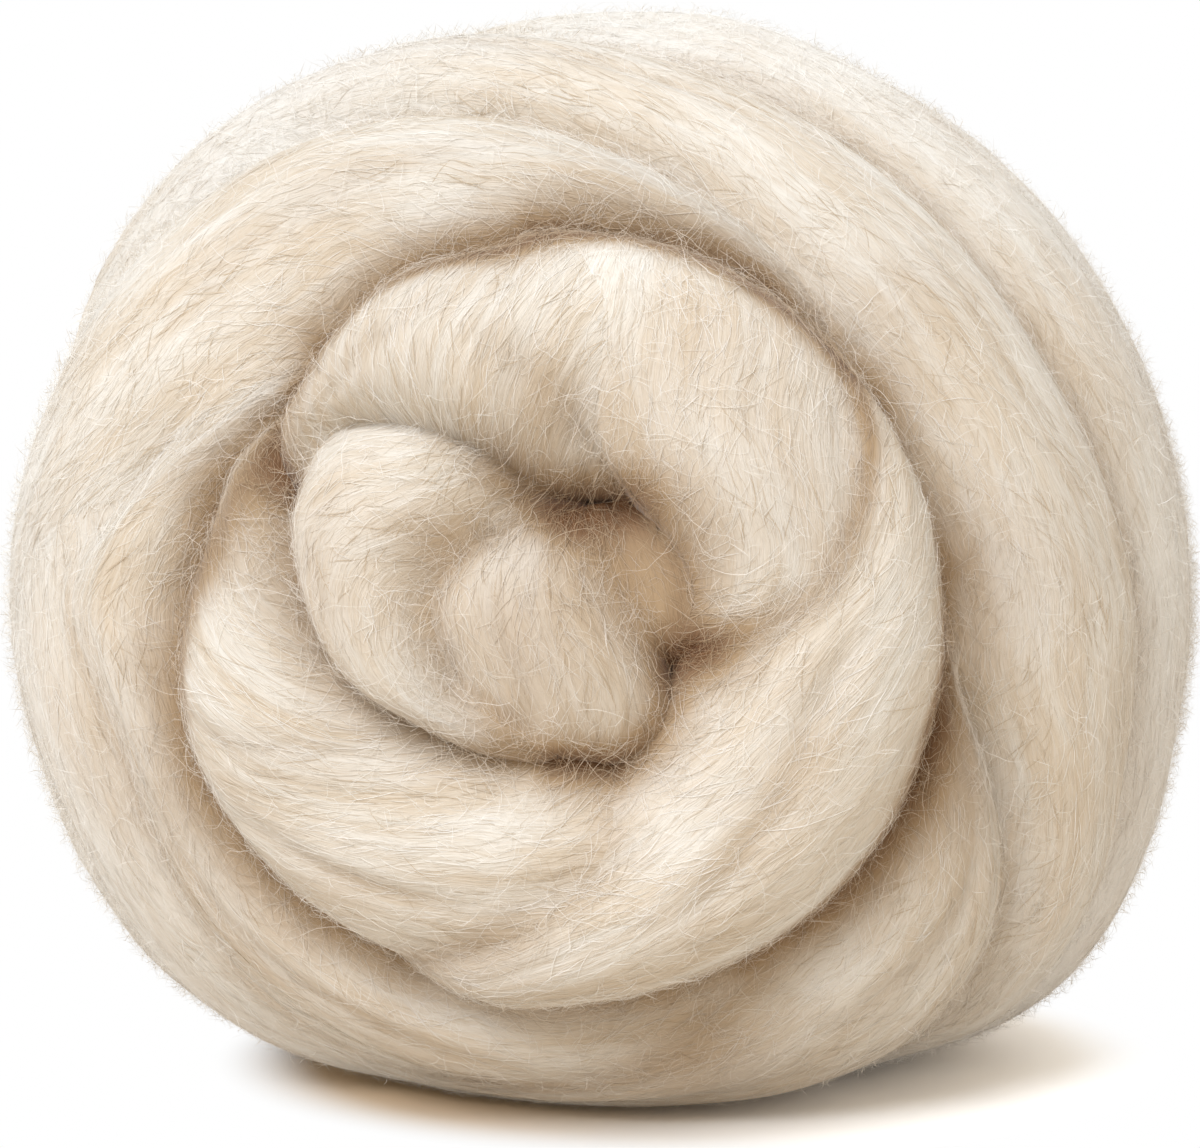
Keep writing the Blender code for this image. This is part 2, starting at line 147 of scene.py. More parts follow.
LOWER_BAND = (
    (-29.5, 20.0, -33.5, 18.0, -7.0),
    (-29.5, 13.5, -37.4, 12.8, -3.0),
    (-28.5, 7.0, -38.8, 5.4, 0.0),
    (-27.0, 0.0, -41.3, -2.0, 2.5),
    (-24.0, -5.5, -42.6, -9.6, 4.0),
    (-19.5, -9.3, -40.8, -17.0, 5.0),
    (-15.0, -11.6, -36.0, -24.0, 5.5),
    (-10.5, -12.6, -30.2, -29.6, 6.0),
    (-5.5, -13.6, -22.8, -34.2, 6.0),
    (-1.0, -14.5, -13.8, -37.0, 5.2),
    (3.5, -16.0, -4.5, -35.0, 3.6),
    (7.0, -18.0, 3.5, -31.5, 0.0),
)

# Passes that wind round the ball. A row is one section, from its inner edge to its outer edge: the
# clock angle (0 is up, 90 is right), the lean of each edge away from the middle of the face, both in
# degrees, and how far the crown stands out of the ball in mm.
INNER_BAND = (
    (52, 31, 37, -8.0),
    (41, 31, 36, -5.0),
    (30, 31.5, 37, -2.0),
    (19, 32, 40, 0.0),
    (8, 32.5, 43.5, 1.0),
    (-3, 33, 48, 2.0),
    (-14, 33, 55.5, 2.0),
    (-25, 34.5, 62.5, 2.0),
    (-36, 36, 69.5, 2.0),
    (-48, 37, 76, 2.0),
    (-60, 40, 83, 2.0),
    (-70, 46, 88, 1.5),
    (-80, 54, 92, 1.0),
    (-90, 62, 95, 0.5),
    (-103, 68, 97, 0.0),
    (-118, 72, 99, 0.0),
    (-135, 74, 100, 0.0),
    (-155, 75, 102, 0.0),
    (-175, 76, 104, 0.0),
    (-195, 75, 102, -3.0),
)
OUTER_BAND = (
    (-165, 99, 122, -5.0),
    (-145, 97, 121, -1.0),
    (-125, 96, 120, 0.0),
    (-105, 95, 119, 0.0),
    (-90, 93, 118, 0.5),
    (-75, 89, 115, 1.5),
    (-60, 82, 110, 3.2),
    (-45, 73.5, 102, 3.2),
    (-32, 67.5, 94, 2.2),
    (-20, 59, 86, 1.5),
    (-7, 49, 76, 1.0),
    (0, 44, 71, 1.0),
    (12, 39, 65.5, 1.0),
    (25, 34, 61.5, 1.0),
    (38, 31.5, 59, 1.0),
    (50, 31.5, 57.5, 1.0),
    (63, 31.5, 57.5, 1.0),
    (76, 32, 60.5, 1.0),
    (90, 32.5, 65.5, 1.0),
    (100, 34, 68, 1.0),
    (110, 40.5, 69, 2.0),
    (120, 48, 71.5, 3.0),
    (130, 55, 73.5, 3.0),
    (140, 60.5, 75.5, 2.0),
    (150, 63.5, 78, -1.0),
    (160, 66, 80, -6.0),
)
CROSSING_BAND = (
    (86, 28, 37, -8.0),
    (96, 30, 36, -4.0),
    (104, 31, 36.5, -1.5),
    (112, 32, 41.5, 0.0),
    (121, 32.5, 50.5, 1.0),
    (129, 33, 57.5, 2.5),
    (137, 33.5, 63, 3.0),
    (145, 34, 67.5, 3.5),
    (155, 35, 71, 3.5),
    (163, 37.5, 73, 3.5),
    (170, 40, 74.5, 3.2),
    (178, 43, 76, 3.0),
    (188, 49, 78, 1.8),
    (198, 55, 80, -1.0),
    (207, 60, 82, -7.0),
)
LOWER_LEFT_BAND = (
    (-48, 34, 40, -8.0),
    (-59, 36.5, 44, -5.0),
    (-70, 38.5, 49, -2.0),
    (-81, 39.8, 57, 0.0),
    (-90, 41.3, 63, 0.5),
    (-97, 42, 60, 0.5),
    (-105, 42.2, 56.5, 0.5),
    (-114, 42.2, 56, 1.0),
    (-124, 41.6, 58, 1.0),
    (-135, 41, 60, 1.0),
    (-147, 39.8, 62, 1.0),
    (-160, 38.6, 64, 1.0),
    (-175, 37, 64, 1.0),
    (-188, 36, 62, 0.0),
    (-200, 35, 58, -3.0),
    (-212, 34, 54, -8.0),
)
FOLD_BAND = (
    (-66, 60, 78, -7.0),
    (-80, 56, 80, -2.5),
    (-95, 54, 82, -0.5),
    (-108, 52, 81, 0.0),
    (-120, 53, 80, 0.0),
    (-132, 55, 80, 0.0),
    (-145, 57, 80, 0.0),
    (-158, 59, 81, 0.0),
    (-172, 60, 83, 0.0),
    (-188, 62, 85, 0.0),
    (-203, 64, 87, 0.0),
    (-218, 66, 89, -4.0),
)
EDGE_BAND = (
    (-165, 119, 140, -6.0),
    (-145, 118, 141, -1.0),
    (-120, 117, 141, 0.0),
    (-90, 115, 139, 0.0),
    (-75, 112, 137, 0.0),
    (-60, 107, 132, 0.0),
    (-45, 100, 125, 1.0),
    (-30, 91, 117, 0.5),
    (-18, 84, 110, 0.0),
    (-7, 75.5, 103, -0.5),
    (3, 69, 97, -0.5),
    (12, 65, 92, 0.5),
    (25, 60.5, 88, 0.5),
    (40, 57.5, 84, 0.5),
    (52, 56.5, 83, 0.5),
    (65, 57, 83, 0.5),
    (78, 60.3, 86, 0.5),
    (90, 65, 89, 0.5),
    (102, 68, 92, 0.5),
    (115, 69, 94, 2.0),
    (130, 71, 97, 3.0),
    (145, 73, 100, 2.0),
    (160, 75.5, 102, 0.5),
    (175, 77, 103, 0.0),
    (190, 79, 105, -4.0),
)

# The back is a flat coil about its own hub, which is at this clock angle and lean. A row is one
# section: how far the coil has turned from its start, the lean of its outer and inner edges away
# from the hub, all in degrees, and how far the crown stands out of the ball in mm.
BACK_HUB = (60.0, 155.0)
BACK_START = 215.0
BACK_COIL = (
    (0, 96, 70, -4.0),
    (30, 91, 64, -0.5),
    (60, 84, 58, 0.5),
    (110, 81, 55, 1.0),
    (160, 79, 54, 1.0),
    (210, 80, 53, 1.0),
    (260, 80, 52, 1.0),
    (310, 77, 49, 1.0),
    (360, 72, 44, 1.5),
    (410, 64, 37, 2.0),
    (460, 58, 31, 2.0),
    (510, 56, 29, 2.0),
    (560, 55, 28, 2.0),
    (610, 54, 26, 2.0),
    (660, 51, 22, 2.5),
    (710, 47, 18, 3.0),
    (760, 41, 13, 3.5),
    (810, 34, 7, 3.5),
    (860, 31, 4, 3.0),
    (910, 29, 3.5, 3.0),
    (960, 27, 3.5, 3.0),
    (1010, 24, 3.5, 2.5),
    (1050, 20, 3.5, 2.0),
    (1090, 17, 3.5, 1.0),
    (1130, 13.5, 3.5, -1.0),
    (1160, 10, 3.5, -4.0),
    (1185, 8, 3.5, -9.0),
)

# How long the cells of a pass are along it, and how wide at its middle, in mm. It has a least number
# of them across and a least half width in metres, and its length is measured at samples of each row.
FACE_CELL = (1.3, 0.62)
BAND_CELL = (2.0, 0.85)
BACK_CELL = (2.8, 1.25)
LEAST_CELLS = 12
LEAST_HALF_WIDTH = 0.002
SAMPLES_PER_ROW = 24

# The passes: how the rows of each are laid out, its rows, its first and second edge, and its cells.
PASSES = (
    ("upper_arc", "chart", UPPER_ARC, HARD_EDGE, HARD_EDGE, FACE_CELL),
    ("sweep", "chart", SWEEP, SOFT_EDGE, HARD_EDGE, FACE_CELL),
    ("small_lobe", "chart", SMALL_LOBE, SOFT_EDGE, HARD_EDGE, FACE_CELL),
    ("core_lobe", "chart", CORE_LOBE, SOFT_EDGE, SOFT_EDGE, FACE_CELL),
    ("left_lobe", "chart", LEFT_LOBE, SOFT_EDGE, HARD_EDGE, FACE_CELL),
    ("lower_band", "chart", LOWER_BAND, HARD_EDGE, HARD_EDGE, FACE_CELL),
    ("inner_band", "clock", INNER_BAND, SLOPED_EDGE, SOFT_EDGE, BAND_CELL),
    ("outer_band", "clock", OUTER_BAND, SLOPED_EDGE, SOFT_EDGE, BAND_CELL),
    ("crossing_band", "clock", CROSSING_BAND, SLOPED_EDGE, SOFT_EDGE, BAND_CELL),
    ("lower_left_band", "clock", LOWER_LEFT_BAND, SLOPED_EDGE, SOFT_EDGE, BAND_CELL),
    ("fold_band", "clock", FOLD_BAND, SOFT_EDGE, SOFT_EDGE, BAND_CELL),
    ("edge_band", "clock", EDGE_BAND, SOFT_EDGE, SOFT_EDGE, BAND_CELL),
    ("back_coil", "coil", BACK_COIL, SOFT_EDGE, SOFT_EDGE, BACK_CELL),
    ("upper_turn", "chart", UPPER_TURN, THIN_EDGE, HARD_EDGE, FACE_CELL),
)

# Locks: ridges that run along a pass, each (mm across, mm along, mm high). They wander (mm across, mm
# along, mm aside), lie a little below the crown, are lower on some passes, and fade at the edges.
LOCKS = ((9.0, 110.0, 0.85), (4.6, 60.0, 0.45), (2.3, 30.0, 0.20))
LOCK_WANDER = (15.0, 34.0, 2.2)
LOCK_INSET = 0.5
LOCK_SHARE = {"inner_band": 0.6, "outer_band": 0.55, "edge_band": 0.6, "upper_arc": 0.7, "fold_band": 0.8}
LOCK_FADE = 6

# The keel closes a pass underneath: how much deeper than a hard edge it lies, and its share of the
# width.
KEEL = 0.0080
KEEL_WIDTH = 0.97

# The chart is spread towards its rim: by this share, from this lean on, over so many degrees.
RIM_SPREAD = 0.03
SPREAD_START = 20.0
SPREAD_RUN = 14.0

# The seed of every random draw, that of the first pass, and the step to that of the next. Each noise
# adds a seed of its own to that of its pass, save for the shade, which belongs to no pass.
SEED = 7
SKIN_SEED = 1
SEED_STEP = 10
WANDER_SEED = 50
SWAY_SEED = 70
CLUMP_SEED = 80
SHADE_SEED = 91

# Where the fibres of a pass don't run along it: (mm along, degrees towards its second edge).
LEANS = {
    "upper_arc": ((0.0, -52.0), (30.0, -50.0), (60.0, -40.0), (96.0, -34.0)),
    "upper_turn": ((0.0, -20.0), (20.0, -26.0), (40.0, -14.0), (70.0, -5.0)),
    "sweep": ((0.0, 0.0), (20.0, -12.0), (38.0, -22.0), (58.0, -14.0), (80.0, 0.0)),
    "left_lobe": ((0.0, -20.0), (10.0, -38.0), (18.0, -30.0), (27.0, 0.0), (36.0, 18.0), (60.0, 4.0)),
    "lower_band": ((0.0, -30.0), (20.0, -38.0), (50.0, -32.0), (80.0, -10.0), (112.0, 0.0)),
}

# The passes of the disc in the middle of the face.
DISC = ("upper_arc", "upper_turn", "sweep", "small_lobe", "core_lobe", "left_lobe", "lower_band")

# How passes meet: how soft the valley is in mm, where 0.4 is sharp and 8 is hardly there, and how
# deep the shade in it is, from 0 to 1.
JOINS = {
    ("upper_arc", "upper_turn"): (8.0, 0.00),
    ("upper_turn", "sweep"): (2.2, 0.12),
    ("upper_turn", "small_lobe"): (3.5, 0.30),
    ("upper_turn", "core_lobe"): (2.0, 0.60),
    ("upper_arc", "left_lobe"): (3.2, 0.14),
    ("upper_arc", "inner_band"): (0.6, 0.75),
    ("core_lobe", "left_lobe"): (5.5, 0.28),
    ("left_lobe", "lower_band"): (1.0, 0.42),
    ("core_lobe", "small_lobe"): (4.0, 0.30),
    ("sweep", "small_lobe"): (3.5, 0.30),
    ("sweep", "core_lobe"): (1.2, 0.60),
    ("sweep", "lower_band"): (2.2, 0.38),
    ("sweep", "lower_left_band"): (0.6, 0.62),
    ("upper_turn", "inner_band"): (0.5, 0.80),
    ("lower_band", "lower_left_band"): (0.8, 0.70),
    ("lower_left_band", "fold_band"): (5.5, 0.14),
    ("inner_band", "fold_band"): (7.0, 0.08),
    ("inner_band", "lower_left_band"): (7.0, 0.10),
    ("inner_band", "outer_band"): (4.0, 0.26),
    ("outer_band", "edge_band"): (4.5, 0.28),
    ("crossing_band", "outer_band"): (5.0, 0.22),
    ("crossing_band", "lower_left_band"): (3.0, 0.45),
}
# The joins that aren't listed: between two bands, between a band and the disc, and within the disc.
OTHER_JOINS = ((5.0, 0.25), (0.5, 0.95), (1.0, 0.85))

# The height where a pass isn't, how far off a pass is still looked at, the share by which wool under
# another pass sinks away, and the slopes between which a crease deepens.
NOWHERE = -1.0
SEARCH_MARGIN = 0.01
HIDDEN_SHARE = 0.3
CREASE_SLOPES = (0.3, 1.0)

# Folds within a pass: its name, how deep and wide they are in mm, and (mm along, place across) on it,
# where -1 and 1 are its edges.
FOLDS = (
    ("sweep", 0.7, 1.7, ((42.0, -0.10), (56.0, -0.16), (72.0, -0.12), (88.0, 0.05))),
    ("lower_band", 0.6, 2.2, ((38.0, 0.62), (44.0, 0.18), (48.0, -0.22), (52.0, -0.44), (62.0, -0.60))),
    ("lower_band", 0.7, 1.4, ((50.0, 0.50), (60.0, 0.28), (72.0, 0.15), (84.0, 0.05))),
    ("upper_arc", 0.8, 2.4, ((44.0, 0.02), (49.1, 0.28), (54.3, 0.46), (60.7, 0.60), (70.0, 0.72))),
    ("upper_arc", 0.6, 1.6, ((14.0, 0.25), (26.0, 0.05), (38.0, -0.15), (52.0, -0.30))),
    ("left_lobe", 0.7, 1.4, ((26.0, 0.35), (38.0, 0.25), (50.0, 0.30), (60.0, 0.20))),
    ("core_lobe", 0.6, 1.3, ((12.0, -0.30), (20.0, -0.24), (30.0, -0.20), (38.0, -0.30))),
    ("crossing_band", 0.7, 1.7, ((38.0, 0.20), (52.0, 0.02), (66.0, -0.12), (82.0, -0.20))),
    ("crossing_band", 0.6, 1.4, ((60.0, 0.45), (72.0, 0.35), (90.0, 0.32))),
    ("inner_band", 0.7, 1.8, ((58.0, 0.10), (76.0, -0.08), (96.0, -0.20), (118.0, -0.25))),
    ("outer_band", 0.8, 1.8, ((150.0, 0.30), (185.0, 0.10), (215.0, 0.00), (245.0, 0.10))),
    ("lower_left_band", 0.8, 1.7, ((70.0, 0.15), (95.0, 0.02), (120.0, -0.08), (146.0, -0.05))),
)
# The shade in a fold for each mm of its depth, how it fades at the ends, and how many spots it has
# for each of its points. The fold itself fades within this many mm of its ends.
FOLD_SHADE = 0.22
FOLD_SPAN = (0.02, 0.98)
FOLD_FULLNESS = 0.7
SPOTS_PER_POINT = 12
FOLD_FADE = 7.0

# The shade beside a crease, close to it and round about: its share, its reach in mm, and the mm of
# height over the crease in which it fades by half.
CLOSE_SHADE = (0.68, 2.7, 13.0)
WIDE_SHADE = (0.30, 9.0, 5.0)

# Creases fainter than this cast no shade. The others are grouped by their depth, each is evened out
# over its nearest neighbours, and a place on the wool asks the nearest few of each group.
LEAST_SHADE = 0.04
CREASE_GROUPS = (0.2, 0.5, 0.8)
CREASE_SMOOTH = 14
CREASES_ASKED = 3

# How uneven the reach of shade is: mm from one change to the next, and by what share.
UNEVEN_REACH = (11.0, 0.35)

# Spots of painted shade, in hollows of the face and in broad patches beyond it: (across, up) on the chart,
# reach in mm, and depth.
SHADE_SPOTS = (
    (-9.5, 11.2, 2.4, 0.20),
    (-7.0, 9.8, 2.6, 0.30),
    (-4.6, 8.6, 2.8, 0.48),
    (-2.2, 7.8, 3.0, 0.58),
    (0.6, 7.8, 2.8, 0.48),
    (3.4, 8.0, 2.6, 0.40),
    (-2.0, 4.2, 5.5, 0.20),
    (4.2, 1.2, 5.0, 0.20),
    (-8.4, -11.2, 3.4, 0.24),
    (-6.0, -2.0, 10.0, 0.25),
    (-14.5, 5.0, 4.5, 0.18),
    (-23.0, 2.0, 9.0, 0.08),
    (-3.0, 15.0, 7.5, 0.13),
    (8.5, 19.2, 8.0, 0.12),
    (15.5, 9.0, 12.0, 0.10),
    (2.6, 4.4, 3.6, 0.16),
    (31.6, -12.2, 4.0, 0.35),
    (33.0, -17.0, 6.5, 0.25),
    (-51.0, -19.0, 14.0, 0.16),
    (38.7, 3.0, 11.0, 0.13),
    (28.4, 28.6, 9.0, 0.10),
    (9.8, -47.2, 11.0, 0.24),
)

# Lines of shade where the coil is drawn in: (across, up) on the chart, reach in mm, and depth.
SEAMS = (
    (
        (-38.6, -14.0, 1.6, 0.00), (-39.1, -7.8, 2.4, 0.58), (-37.8, 0.1, 3.6, 0.62),
        (-35.2, 6.9, 3.8, 0.58), (-32.4, 13.0, 4.6, 0.58), (-29.6, 18.2, 3.6, 0.62),
        (-24.5, 22.3, 1.8, 0.46), (-20.6, 26.6, 2.0, 0.60), (-15.2, 29.3, 2.2, 0.68),
        (-9.3, 30.6, 2.5, 0.78), (-3.7, 31.5, 3.0, 0.78), (2.3, 31.1, 2.7, 0.76),
        (8.0, 29.6, 2.4, 0.72), (13.3, 26.7, 2.2, 0.76), (18.2, 23.2, 2.4, 0.74),
        (23.0, 18.3, 1.8, 0.46), (26.2, 13.3, 1.8, 0.46), (28.7, 6.9, 1.8, 0.64),
        (29.9, -0.1, 2.3, 0.70), (29.9, -7.6, 2.5, 0.74), (27.8, -14.8, 2.0, 0.60),
        (24.4, -21.8, 2.0, 0.64), (19.1, -27.7, 1.8, 0.62), (12.2, -32.2, 1.6, 0.34),
        (4.6, -35.3, 1.3, 0.12), (-4.9, -37.7, 1.2, 0.16), (-12.4, -36.6, 1.2, 0.00),
    ),
    (
        (20.2, 22.6, 1.7, 0.56), (21.5, 17.9, 1.7, 0.62), (21.7, 12.6, 1.6, 0.50),
        (21.0, 8.2, 1.6, 0.36), (17.5, 0.6, 1.8, 0.24), (13.0, -2.2, 2.0, 0.30),
        (10.6, -3.4, 2.6, 0.60), (8.6, -4.6, 3.6, 0.96), (6.8, -6.0, 3.2, 0.86),
        (5.2, -8.6, 1.8, 0.26), (4.0, -11.2, 1.8, 0.22), (1.6, -14.1, 2.4, 0.52),
        (-2.4, -14.1, 2.2, 0.46), (-7.4, -13.4, 2.2, 0.36), (-11.0, -12.8, 2.0, 0.18),
        (-15.0, -11.2, 1.6, 0.06),
    ),
    (
        (-14.6, 14.4, 2.0, 0.04), (-12.0, 13.2, 2.4, 0.14), (-9.6, 12.0, 3.0, 0.28),
        (-6.0, 9.8, 2.6, 0.32), (-2.6, 7.2, 3.2, 0.50), (0.4, 6.6, 3.0, 0.34),
        (3.0, 7.4, 3.0, 0.34), (4.8, 6.0, 4.0, 0.42), (6.2, 4.4, 4.2, 0.38),
        (7.0, 2.4, 4.4, 0.38), (7.2, 0.2, 4.4, 0.42), (7.0, -2.4, 4.2, 0.44),
    ),
)

# The spots of a seam are this many degrees apart, and it shades only wool this far in front.
SEAM_STEP = 0.6
SEAM_FRONT = 0.030

# Right, up and out of the face, and the half sizes of the plain ball along each.
FACE_AXES = np.array(
    (
        (1.0, 0.0, 0.0),
        (0.0, math.sin(FACE_TILT), math.cos(FACE_TILT)),
        (0.0, -math.cos(FACE_TILT), math.sin(FACE_TILT)),
    )
)
HALF_SIZES = np.array((RADIUS, RADIUS, HALF_DEPTH))


def unit(vectors):
    """Vectors at length 1."""
    return vectors / np.maximum(np.linalg.norm(vectors, axis=-1, keepdims=True), 1e-12)


def leaning(clock, lean, axes=FACE_AXES):
    """Unit vectors that lean away from the last of three axes, towards clock angles, in degrees."""
    around = np.radians(clock)[..., None]
    away = np.radians(lean)[..., None]
    side = axes[0] * np.sin(around) + axes[1] * np.cos(around)
    return side * np.sin(away) + axes[2] * np.cos(away)


def on_chart(across, up):
    """Unit vectors of places on the flat chart of the ball, with its rim spread a little."""
    lean = np.hypot(across, up)
    spread = 1.0 + RIM_SPREAD * np.clip((lean - SPREAD_START) / SPREAD_RUN, 0.0, 1.0)
    return leaning(np.degrees(np.arctan2(across, up)), lean * spread)


def hub_axes(clock, lean):
    """The axes about a hub elsewhere on the ball, with clock angles as they are at the face."""
    middle = leaning(np.array(clock), np.array(lean))
    up = unit(FACE_AXES[1] - middle * (FACE_AXES[1] @ middle))
    right = unit(FACE_AXES[0] - middle * (FACE_AXES[0] @ middle) - up * (FACE_AXES[0] @ up))
    return np.array((right, up, middle))


def on_ball(directions):
    """Places on the plain ball, relative to its centre."""
    return ((directions @ FACE_AXES.T) * HALF_SIZES) @ FACE_AXES


def ball_normal(directions):
    """Outward normals of the plain ball."""
    return unit(((directions @ FACE_AXES.T) / HALF_SIZES) @ FACE_AXES)


def direction_of(places):
    """Directions whose places on the plain ball are under the given ones."""
    return unit(((places @ FACE_AXES.T) / HALF_SIZES) @ FACE_AXES)


def rows_of(layout, table):
    """An array of rows, each the direction of both edges and the rise in metres."""
    columns = np.array(table, float).T
    if layout == "chart":
        first = on_chart(columns[0], columns[1])
        second = on_chart(columns[2], columns[3])
    elif layout == "clock":
        first = leaning(columns[0], columns[1])
        second = leaning(columns[0], columns[2])
    else:
        axes = hub_axes(*BACK_HUB)
        first = leaning(BACK_START - columns[0], columns[2], axes)
        second = leaning(BACK_START - columns[0], columns[1], axes)
    return np.hstack((first, second, columns[-1][:, None] * MM))


def rows_at(rows, places):
    """Smooth rows at fractional places along an array of rows."""
    last = len(rows) - 1
    index = np.minimum(places.astype(int), last - 1)
    share = (places - index)[:, None]
    before, start, end, after = (rows[np.clip(index + shift, 0, last)] for shift in (-1, 0, 1, 2))
    return 0.5 * (
        2.0 * start
        + (end - before) * share
        + (2.0 * before - 5.0 * start + 4.0 * end - after) * share**2
        + (3.0 * start - before - 3.0 * end + after) * share**3
    )


def even_places(rows, step):
    """Places that are even steps apart along a pass, and how far along it they are, in metres."""
    places = np.linspace(0.0, len(rows) - 1.0, (len(rows) - 1) * SAMPLES_PER_ROW + 1)
    dense = rows_at(rows, places)
    moved = [
        np.linalg.norm(np.diff(on_ball(unit(dense[:, columns])), axis=0), axis=1)
        for columns in (slice(0, 3), slice(3, 6))
    ]
    reached = np.concatenate(([0.0], np.cumsum(np.maximum(*moved))))
    along = np.linspace(0.0, reached[-1], int(round(reached[-1] / step)) + 1)
    return np.interp(along, reached, places), along


def lattice(seed, column, row):
    """A repeatable number from 0 to 1 for each crossing of a grid: large odd numbers mix its bits."""
    mixed = (column * 374761393 + row * 668265263 + seed * 974711) & 0xFFFFFFFF
    mixed = ((mixed ^ (mixed >> 13)) * 1274126177) & 0xFFFFFFFF
    return ((mixed ^ (mixed >> 16)) & 0xFFFF) / 65535.0


def noise(seed, x, y):
    """Smooth noise from -1 to 1, one step of the grid from each change to the next."""
    column = np.floor(x).astype(np.int64)
    row = np.floor(y).astype(np.int64)
    right = (x - column) ** 2 * (3.0 - 2.0 * (x - column))
    up = (y - row) ** 2 * (3.0 - 2.0 * (y - row))
    near = lattice(seed, column, row) * (1.0 - right) + lattice(seed, column + 1, row) * right
    far = lattice(seed, column, row + 1) * (1.0 - right) + lattice(seed, column + 1, row + 1) * right
    return 2.0 * (near * (1.0 - up) + far * up) - 1.0


def squashed(height):
    """Height above the floor once the wool below it has been pressed flat."""
    return SQUASH * np.logaddexp(0.0, height / SQUASH) - FLAT_TRIM


def settled(places):
    """Places on the ball once it stands on its flat side, with its box over the origin."""
    moved = places + np.array((BOX_SHIFT[0], BOX_SHIFT[1], CENTRE_HEIGHT))
    moved[..., 2] = np.maximum(squashed(moved[..., 2]), 0.0)
    return moved


def distance_to(line, places):
    """The distance of places from a line of straight stretches, on a flat sheet."""
    nearest = np.full(places.shape[:-1], np.inf)
    for start, end in zip(line[:-1], line[1:]):
        step = end - start
        share = np.clip(((places - start) @ step) / (step @ step), 0.0, 1.0)
        nearest = np.minimum(nearest, np.linalg.norm(places - start - share[..., None] * step, axis=-1))
    return nearest


def lean_of(name, along):
    """How far the fibres of a pass turn off its run, in radians, at distances along it."""
    table = np.array(LEANS.get(name, ((0.0, 0.0),)))
    return np.radians(np.interp(along / MM, table[:, 0], table[:, 1]))


class Skin:
    """The surface of one pass, as a grid of places along it and across it."""

    def __init__(self, seed, name, layout, table, first_edge, second_edge, cell):
        self.name = name
        self.seed = seed
        self.edges = (first_edge, second_edge)
        rows = rows_of(layout, table)
        places, self.along = even_places(rows, cell[0] * MM)
        dense = rows_at(rows, places)
        self.first, self.second, self.rise = dense[:, :3], dense[:, 3:6], dense[:, 6]
        chord = on_ball(unit(self.first)) - on_ball(unit(self.second))
        self.half_width = np.maximum(0.5 * np.linalg.norm(chord, axis=1), LEAST_HALF_WIDTH)
        self.nominal = self.half_width.max()
        self.count = max(LEAST_CELLS, int(round(math.pi * self.nominal / (cell[1] * MM))))
        self.across = -np.cos(np.linspace(0.0, math.pi, self.count))
        self.slide = np.cumsum(np.tan(lean_of(name, self.along))) * (self.along[1] - self.along[0])
        self.shape()

    def locks(self, across_mm, along_mm):
        """How far the locks stand out of the pass, in mm."""
        wide, long, aside = LOCK_WANDER
        wander = aside * noise(self.seed + WANDER_SEED, across_mm / wide, along_mm / long)
        height = 0.0
        for number, (wide, long, high) in enumerate(LOCKS):
            height = height + high * noise(self.seed + number, (across_mm + wander) / wide, along_mm / long)
        return height - LOCK_INSET

    def folds(self):
        """How far the folds within the pass sink into it, in mm."""
        depth = np.zeros((len(self.along), self.count))
        along, across = self.along[:, None] / MM, self.across[None, :] * self.nominal / MM
        place = np.stack(np.broadcast_arrays(along, across), axis=-1)
        for name, deep, wide, points in FOLDS:
            if name != self.name:
                continue
            line = np.array(points) * (1.0, self.nominal / MM)
            from_ends = [np.linalg.norm(place - line[end], axis=-1) for end in (0, -1)]
            fade = np.clip(np.minimum(*from_ends) / FOLD_FADE, 0.0, 1.0)
            depth += deep * fade * np.exp(-((distance_to(line, place) / wide) ** 2))
        return depth

    def shape(self):
        """Sets the arched top of the pass: its directions, its heights off the plain ball and its places."""
        across = self.across[None, :]
        dip, overlap, fullness = (np.where(across < 0.0, *facts) for facts in zip(*self.edges))
        crown = self.rise[:, None]
        lift = np.maximum(1.0 - across**2, 0.0) ** (1.0 / fullness)
        height = np.minimum(-dip + (crown + dip) * lift, crown)
        combed = (across * self.nominal - self.slide[:, None]) / MM
        locks = self.locks(combed, self.along[:, None] / MM) * LOCK_SHARE.get(self.name, 1.0)
        relief = (locks - self.folds()) * MM
        height = height + relief * (1.0 - across**LOCK_FADE)
        reach = across * (1.0 + overlap / self.half_width[:, None])
        self.directions = self.between(reach)
        self.shade = np.zeros(height.shape)
        self.raise_to(height)

    def between(self, across):
        """Directions between or just beyond the two edges."""
        share = (0.5 + 0.5 * across)[..., None]
        return unit(self.first[:, None] + (self.second - self.first)[:, None] * share)

    def raise_to(self, height):
        """Puts the arched top at heights off the plain ball."""
        self.height = height
        self.places = on_ball(self.directions) + ball_normal(self.directions) * height[..., None]
        self.normals = self.outward()

    def outward(self):
        """Unit normals of the arched top, pointing out of the ball."""
        normals = unit(np.cross(np.gradient(self.places, axis=0), np.gradient(self.places, axis=1)))
        middle = self.count // 2
        facing = np.sum(normals[:, middle] * ball_normal(direction_of(self.places[:, middle])))
        return normals if facing > 0.0 else -normals

    def ring(self):
        """The places of whole sections, from the first edge over the crown and back by the keel."""
        keels = []
        for side, edge in ((1.0, self.edges[1]), (-1.0, self.edges[0])):
            way = self.between(side * KEEL_WIDTH * (1.0 + edge[1] / self.half_width[:, None]))
            depth = np.maximum(HARD_EDGE[0], -self.rise)[:, None, None] + KEEL
            keels.append(on_ball(way) - ball_normal(way) * depth)
        return np.concatenate([self.places] + keels, axis=1)


